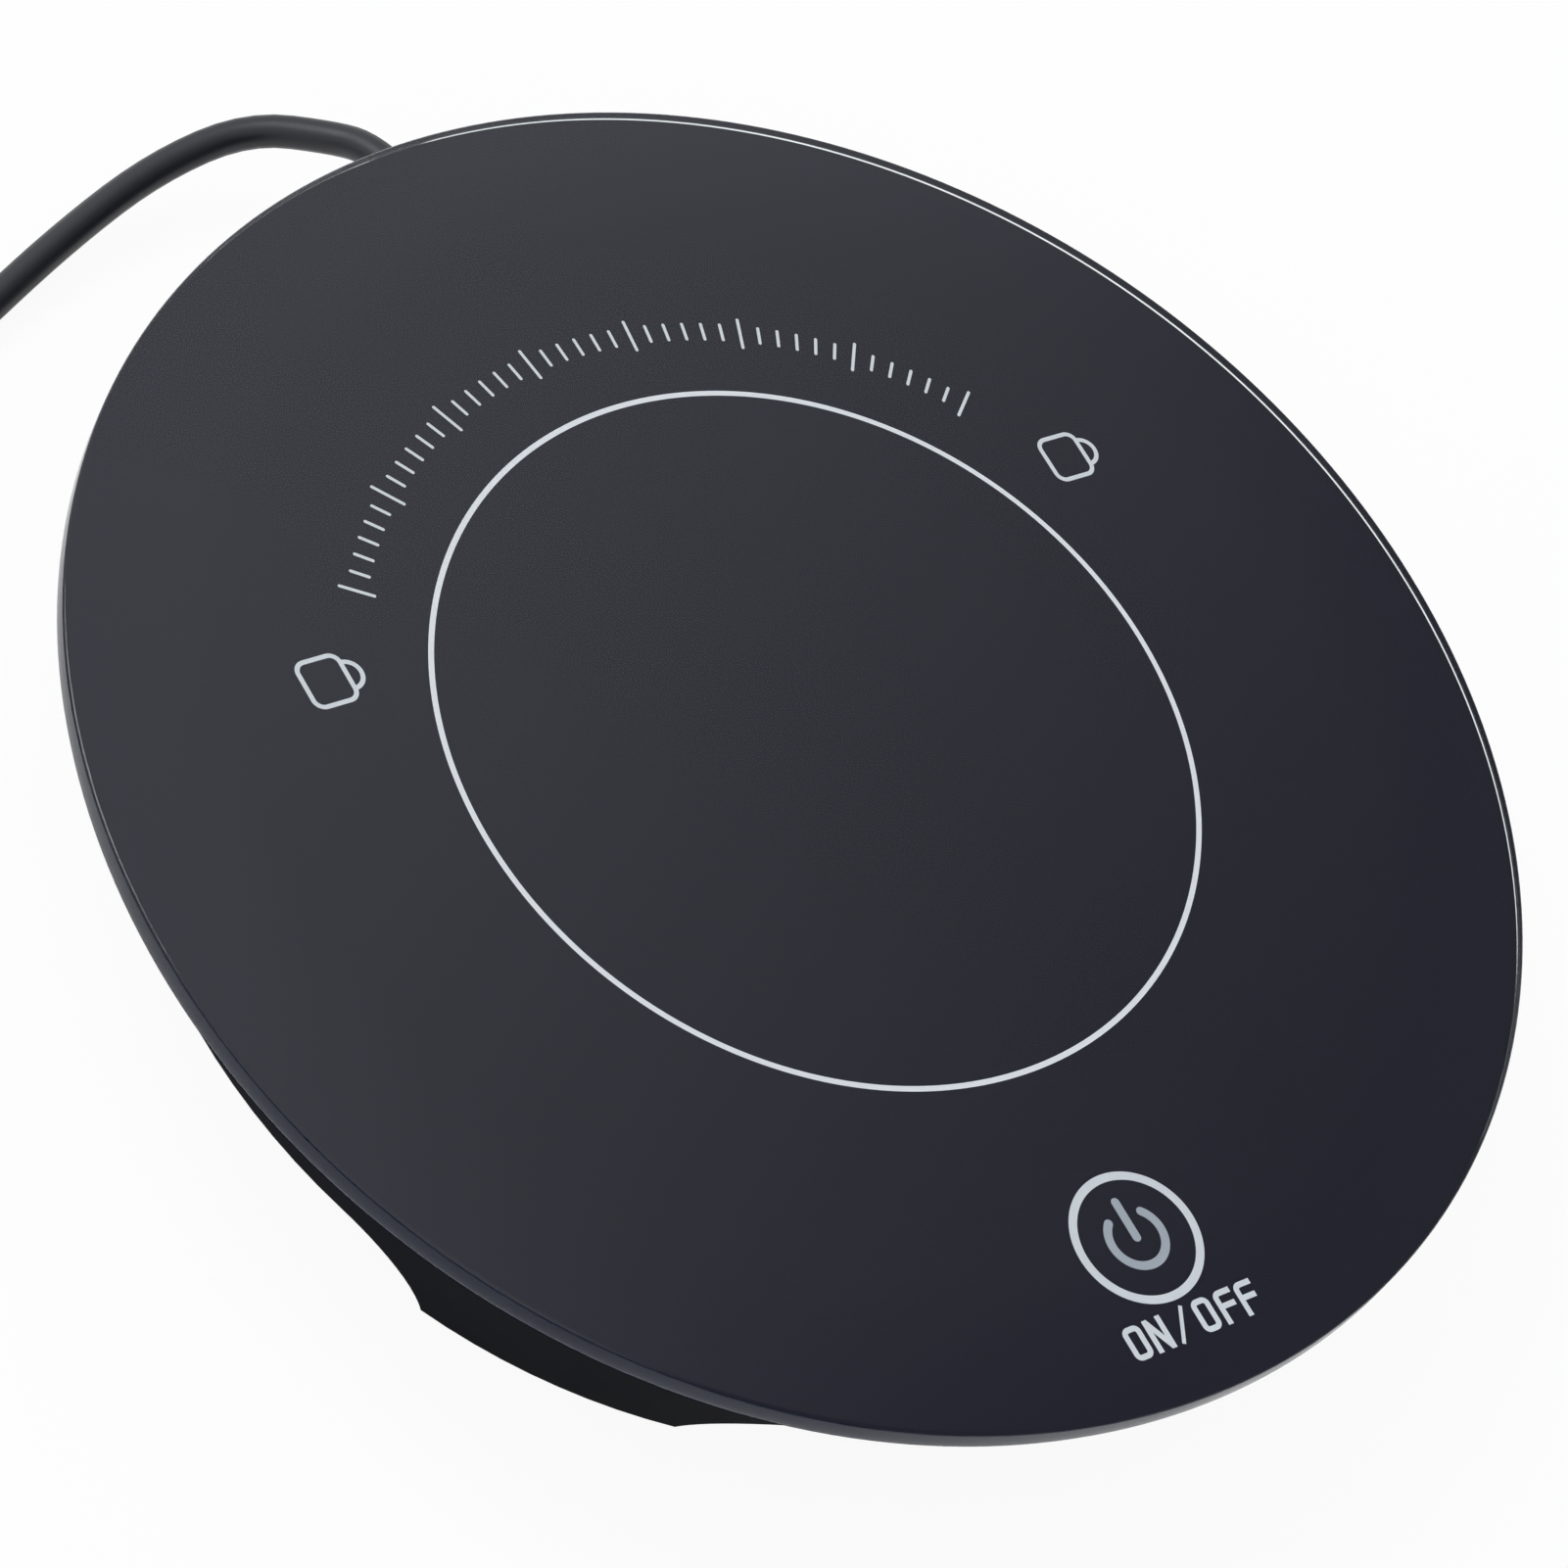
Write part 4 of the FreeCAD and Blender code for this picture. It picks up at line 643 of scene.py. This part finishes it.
def makeTie(size):
    # band swept round the bundle by a rounded box; its cross-section is a flat superellipse,
    # half width sign(c) |c|^p across and half thickness sign(s) |s|^q through
    half = (size["outer"] - size["inner"]) / 2 + size["thickness"] / 2
    tall = (size["high"] - size["low"]) / 2 + size["thickness"] / 2
    loop, out = roundedLoop(half, tall, size["round"], size["steps"])
    turn = np.linspace(0, 2 * np.pi, size["bandSteps"], endpoint=False)
    across = size["width"] / 2 * signedPower(np.cos(turn), size["acrossPower"])
    thick = size["thickness"] / 2 * signedPower(np.sin(turn), size["thickPower"])
    radial = (size["inner"] + size["outer"]) / 2 + loop[:, None, 0] + out[:, None, 0] * thick
    z = (size["low"] + size["high"]) / 2 + loop[:, None, 1] + out[:, None, 1] * thick
    across = np.broadcast_to(across, radial.shape)
    angle = math.radians(size["angle"])
    ray = np.array([math.cos(angle), math.sin(angle)])
    centre = coilCentre(cord)
    x = centre[0] + radial * ray[0] - across * ray[1]
    y = centre[1] + radial * ray[1] + across * ray[0]
    part = gridPart(np.stack([x, y, z], axis=-1) * mm, wrapRows=True, wrapColumns=True)
    piece = makePiece("coilStrap", [part], [finishes["strap_black"]])
    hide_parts("cord_tie")
    return piece


def makePlug(size):
    # lofted superellipses: |y/a|^p + |z/b|^p = 1, round on the neck and squarer on the grip;
    # the swell behind the neck and the round at the front follow a sine and a cosine
    _, lower, end = plugEnd(cord)
    heading = (end - lower) / np.linalg.norm(end - lower)
    neck = np.linspace(0, size["neck"], size["neckRings"])
    share = neck / size["neck"]
    grooves = size["grooveDepth"] * (1 - np.cos(share * size["grooves"] * 2 * np.pi)) / 2
    neckRadius = size["neckFrom"] + (size["neckTo"] - size["neckFrom"]) * share - grooves
    swell = np.radians(np.linspace(0, 90, size["swellRings"] + 1)[1:])
    front = np.radians(np.linspace(90, 0, size["frontRings"] + 1)[1:])
    frontAt = size["neck"] + size["length"] - size["front"]
    along = np.concatenate([neck, size["neck"] + size["swell"] * (1 - np.cos(swell)),
                            [frontAt], frontAt + size["front"] * np.cos(front)])

    def halfSize(full):
        grow = size["neckTo"] + (full / 2 - size["neckTo"]) * np.sin(swell)
        close = full / 2 - size["front"] + size["front"] * np.sin(front)
        return np.concatenate([neckRadius, grow, [full / 2], close])[:, None]

    squarer = size["gripPower"] - size["roundPower"]
    power = np.concatenate([np.full(len(neck), size["roundPower"]),
                            size["roundPower"] + squarer * np.sin(swell),
                            np.full(len(front) + 1, size["gripPower"])])[:, None]
    turn = np.linspace(0, 2 * np.pi, size["steps"], endpoint=False)[None, :]
    y = halfSize(size["width"]) * signedPower(np.cos(turn), 2 / power)
    z = halfSize(size["height"]) * signedPower(np.sin(turn), 2 / power)
    x = np.broadcast_to(along[:, None], y.shape)
    grid = np.stack([x, y, z], axis=-1)
    grid = np.concatenate([grid[:1] * [1, 0, 0], grid, grid[-1:] * [1, 0, 0]])
    placed = np.stack([end[0] + grid[..., 0] * heading[0] - grid[..., 1] * heading[1],
                       end[1] + grid[..., 0] * heading[1] + grid[..., 1] * heading[0],
                       end[2] + grid[..., 2]], axis=-1)
    piece = makePiece("plugGrip", [gridPart(placed * mm, wrapColumns=True)],
                      [finishes["cord_black"]])
    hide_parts("plug_body")
    return piece


strainSleeve = makeSleeve(sleeve)
lead = makeCord(cord)
strap = makeTie(tie)
plugGrip = makePlug(plug)
print("lead done")


# Floor, light and camera

studio = {
    "floorSize": 6.0, "floorColour": (0.9, 0.9, 0.9), "floorGlow": 0.93,
    # the sky's brightness runs from dark to bright within reach of middle, along the axis
    "skyAxis": (-0.7071, 0.7071, 0.0), "skyMiddle": -0.162, "skyReach": 0.16,
    "skyDark": 0.35, "skyBright": 1.02, "skyColour": (0.955, 0.965, 1.0),
    "keyPlace": (-0.55, 0.75, 0.9), "keyTarget": (0.0, 0.0, 0.01), "keySize": 0.7,
    "keyPower": 6.0,
}
viewpoint = {
    "imageWidth": 1601, "focalPixels": 5385.0, "sensor": 36.0, "near": 0.02, "far": 50.0,
    "right": (0.79030515, -0.4909855, 0.36653924),
    "down": (-0.25319086, -0.80645384, -0.53434689),
    "forward": (0.55795355, 0.32949271, -0.76165766),
    "place": (-0.24834772, -0.14648746, 0.35374305),
}


def placement(right, up, back, place):
    # matrix with right, up, back and place as its columns
    matrix = np.eye(4)
    matrix[:3, :4] = np.column_stack([right, up, back, place])
    return mathutils.Matrix(matrix.tolist())


def lookFrom(place, target):
    back = (place - target) / np.linalg.norm(place - target)
    right = np.cross([0.0, 0.0, 1.0], back)
    right = right / np.linalg.norm(right)
    return placement(right, np.cross(back, right), back, place)


def rayShare(tree, kinds):
    # 1 where the ray is of any of the kinds, else 0
    rays = tree.nodes.new("ShaderNodeLightPath")
    share = rays.outputs[kinds[0]]
    for kind in kinds[1:]:
        either = tree.nodes.new("ShaderNodeMath")
        either.operation = "MAXIMUM"
        tree.links.new(share, either.inputs[0])
        tree.links.new(rays.outputs[kind], either.inputs[1])
        share = either.outputs[0]
    return share


def blendShaders(tree, share, first, second, out):
    blend = tree.nodes.new("ShaderNodeMixShader")
    tree.links.new(share, blend.inputs[0])
    tree.links.new(first.outputs[0], blend.inputs[1])
    tree.links.new(second.outputs[0], blend.inputs[2])
    tree.links.new(blend.outputs[0], out.inputs["Surface"])


def makeFloor(size):
    # white paper: it glows only where it is seen, so it still takes the object's shadow
    half = size["floorSize"] / 2
    mesh = bpy.data.meshes.new("floor")
    mesh.from_pydata([(-half, -half, 0), (half, -half, 0), (half, half, 0), (-half, half, 0)],
                     [], [(0, 1, 2, 3)])
    floor = bpy.data.objects.new("floor", mesh)
    bpy.context.scene.collection.objects.link(floor)
    paper = bpy.data.materials.new("floorPaper")
    paper.use_nodes = True
    tree = paper.node_tree
    tree.nodes.clear()
    out = tree.nodes.new("ShaderNodeOutputMaterial")
    matte = tree.nodes.new("ShaderNodeBsdfDiffuse")
    matte.inputs["Color"].default_value = (*size["floorColour"], 1.0)
    glow = tree.nodes.new("ShaderNodeEmission")
    share = tree.nodes.new("ShaderNodeMath")
    share.operation = "MULTIPLY"
    share.inputs[1].default_value = size["floorGlow"]
    seen = rayShare(tree, ("Is Camera Ray", "Is Glossy Ray", "Is Transmission Ray"))
    tree.links.new(seen, share.inputs[0])
    blendShaders(tree, share.outputs[0], matte, glow, out)
    mesh.materials.append(paper)


def makeSky(size):
    # soft tent: bright at the back left, dim at the front right, white where the camera sees it
    world = bpy.data.worlds.new("softTent")
    bpy.context.scene.world = world
    world.use_nodes = True
    tree = world.node_tree
    tree.nodes.clear()
    out = tree.nodes.new("ShaderNodeOutputWorld")
    place = tree.nodes.new("ShaderNodeTexCoord")
    along = tree.nodes.new("ShaderNodeVectorMath")
    along.operation = "DOT_PRODUCT"
    along.inputs[1].default_value = size["skyAxis"]
    tree.links.new(place.outputs["Generated"], along.inputs[0])
    level = tree.nodes.new("ShaderNodeMapRange")
    level.interpolation_type = "SMOOTHSTEP"
    level.inputs["From Min"].default_value = size["skyMiddle"] - size["skyReach"]
    level.inputs["From Max"].default_value = size["skyMiddle"] + size["skyReach"]
    level.inputs["To Min"].default_value = size["skyDark"]
    level.inputs["To Max"].default_value = size["skyBright"]
    tree.links.new(along.outputs["Value"], level.inputs["Value"])
    tent = tree.nodes.new("ShaderNodeBackground")
    tent.inputs["Color"].default_value = (*size["skyColour"], 1.0)
    tree.links.new(level.outputs["Result"], tent.inputs["Strength"])
    white = tree.nodes.new("ShaderNodeBackground")
    white.inputs["Color"].default_value = (1.0, 1.0, 1.0, 1.0)
    seen = rayShare(tree, ("Is Camera Ray", "Is Transmission Ray"))
    blendShaders(tree, seen, tent, white, out)


def makeKeyLight(size):
    light = bpy.data.lights.new("softbox", "AREA")
    light.shape = "SQUARE"
    light.size = size["keySize"]
    light.energy = size["keyPower"]
    lamp = bpy.data.objects.new("softbox", light)
    lamp.visible_transmission = False  # keeps its sparkle out of the glass over the dark ink
    bpy.context.scene.collection.objects.link(lamp)
    lamp.matrix_world = lookFrom(np.array(size["keyPlace"]), np.array(size["keyTarget"]))


def makeCamera(size):
    camera = bpy.data.cameras.new("camera")
    camera.sensor_width = size["sensor"]
    camera.lens = size["focalPixels"] / size["imageWidth"] * size["sensor"]
    camera.clip_start = size["near"]
    camera.clip_end = size["far"]
    holder = bpy.data.objects.new("camera", camera)
    bpy.context.scene.collection.objects.link(holder)
    holder.matrix_world = placement(size["right"], -np.array(size["down"]),
                                    -np.array(size["forward"]), size["place"])
    bpy.context.scene.camera = holder


makeFloor(studio)
makeSky(studio)
makeKeyLight(studio)
makeCamera(viewpoint)
bpy.context.scene.view_settings.view_transform = "Standard"
print("studio done")
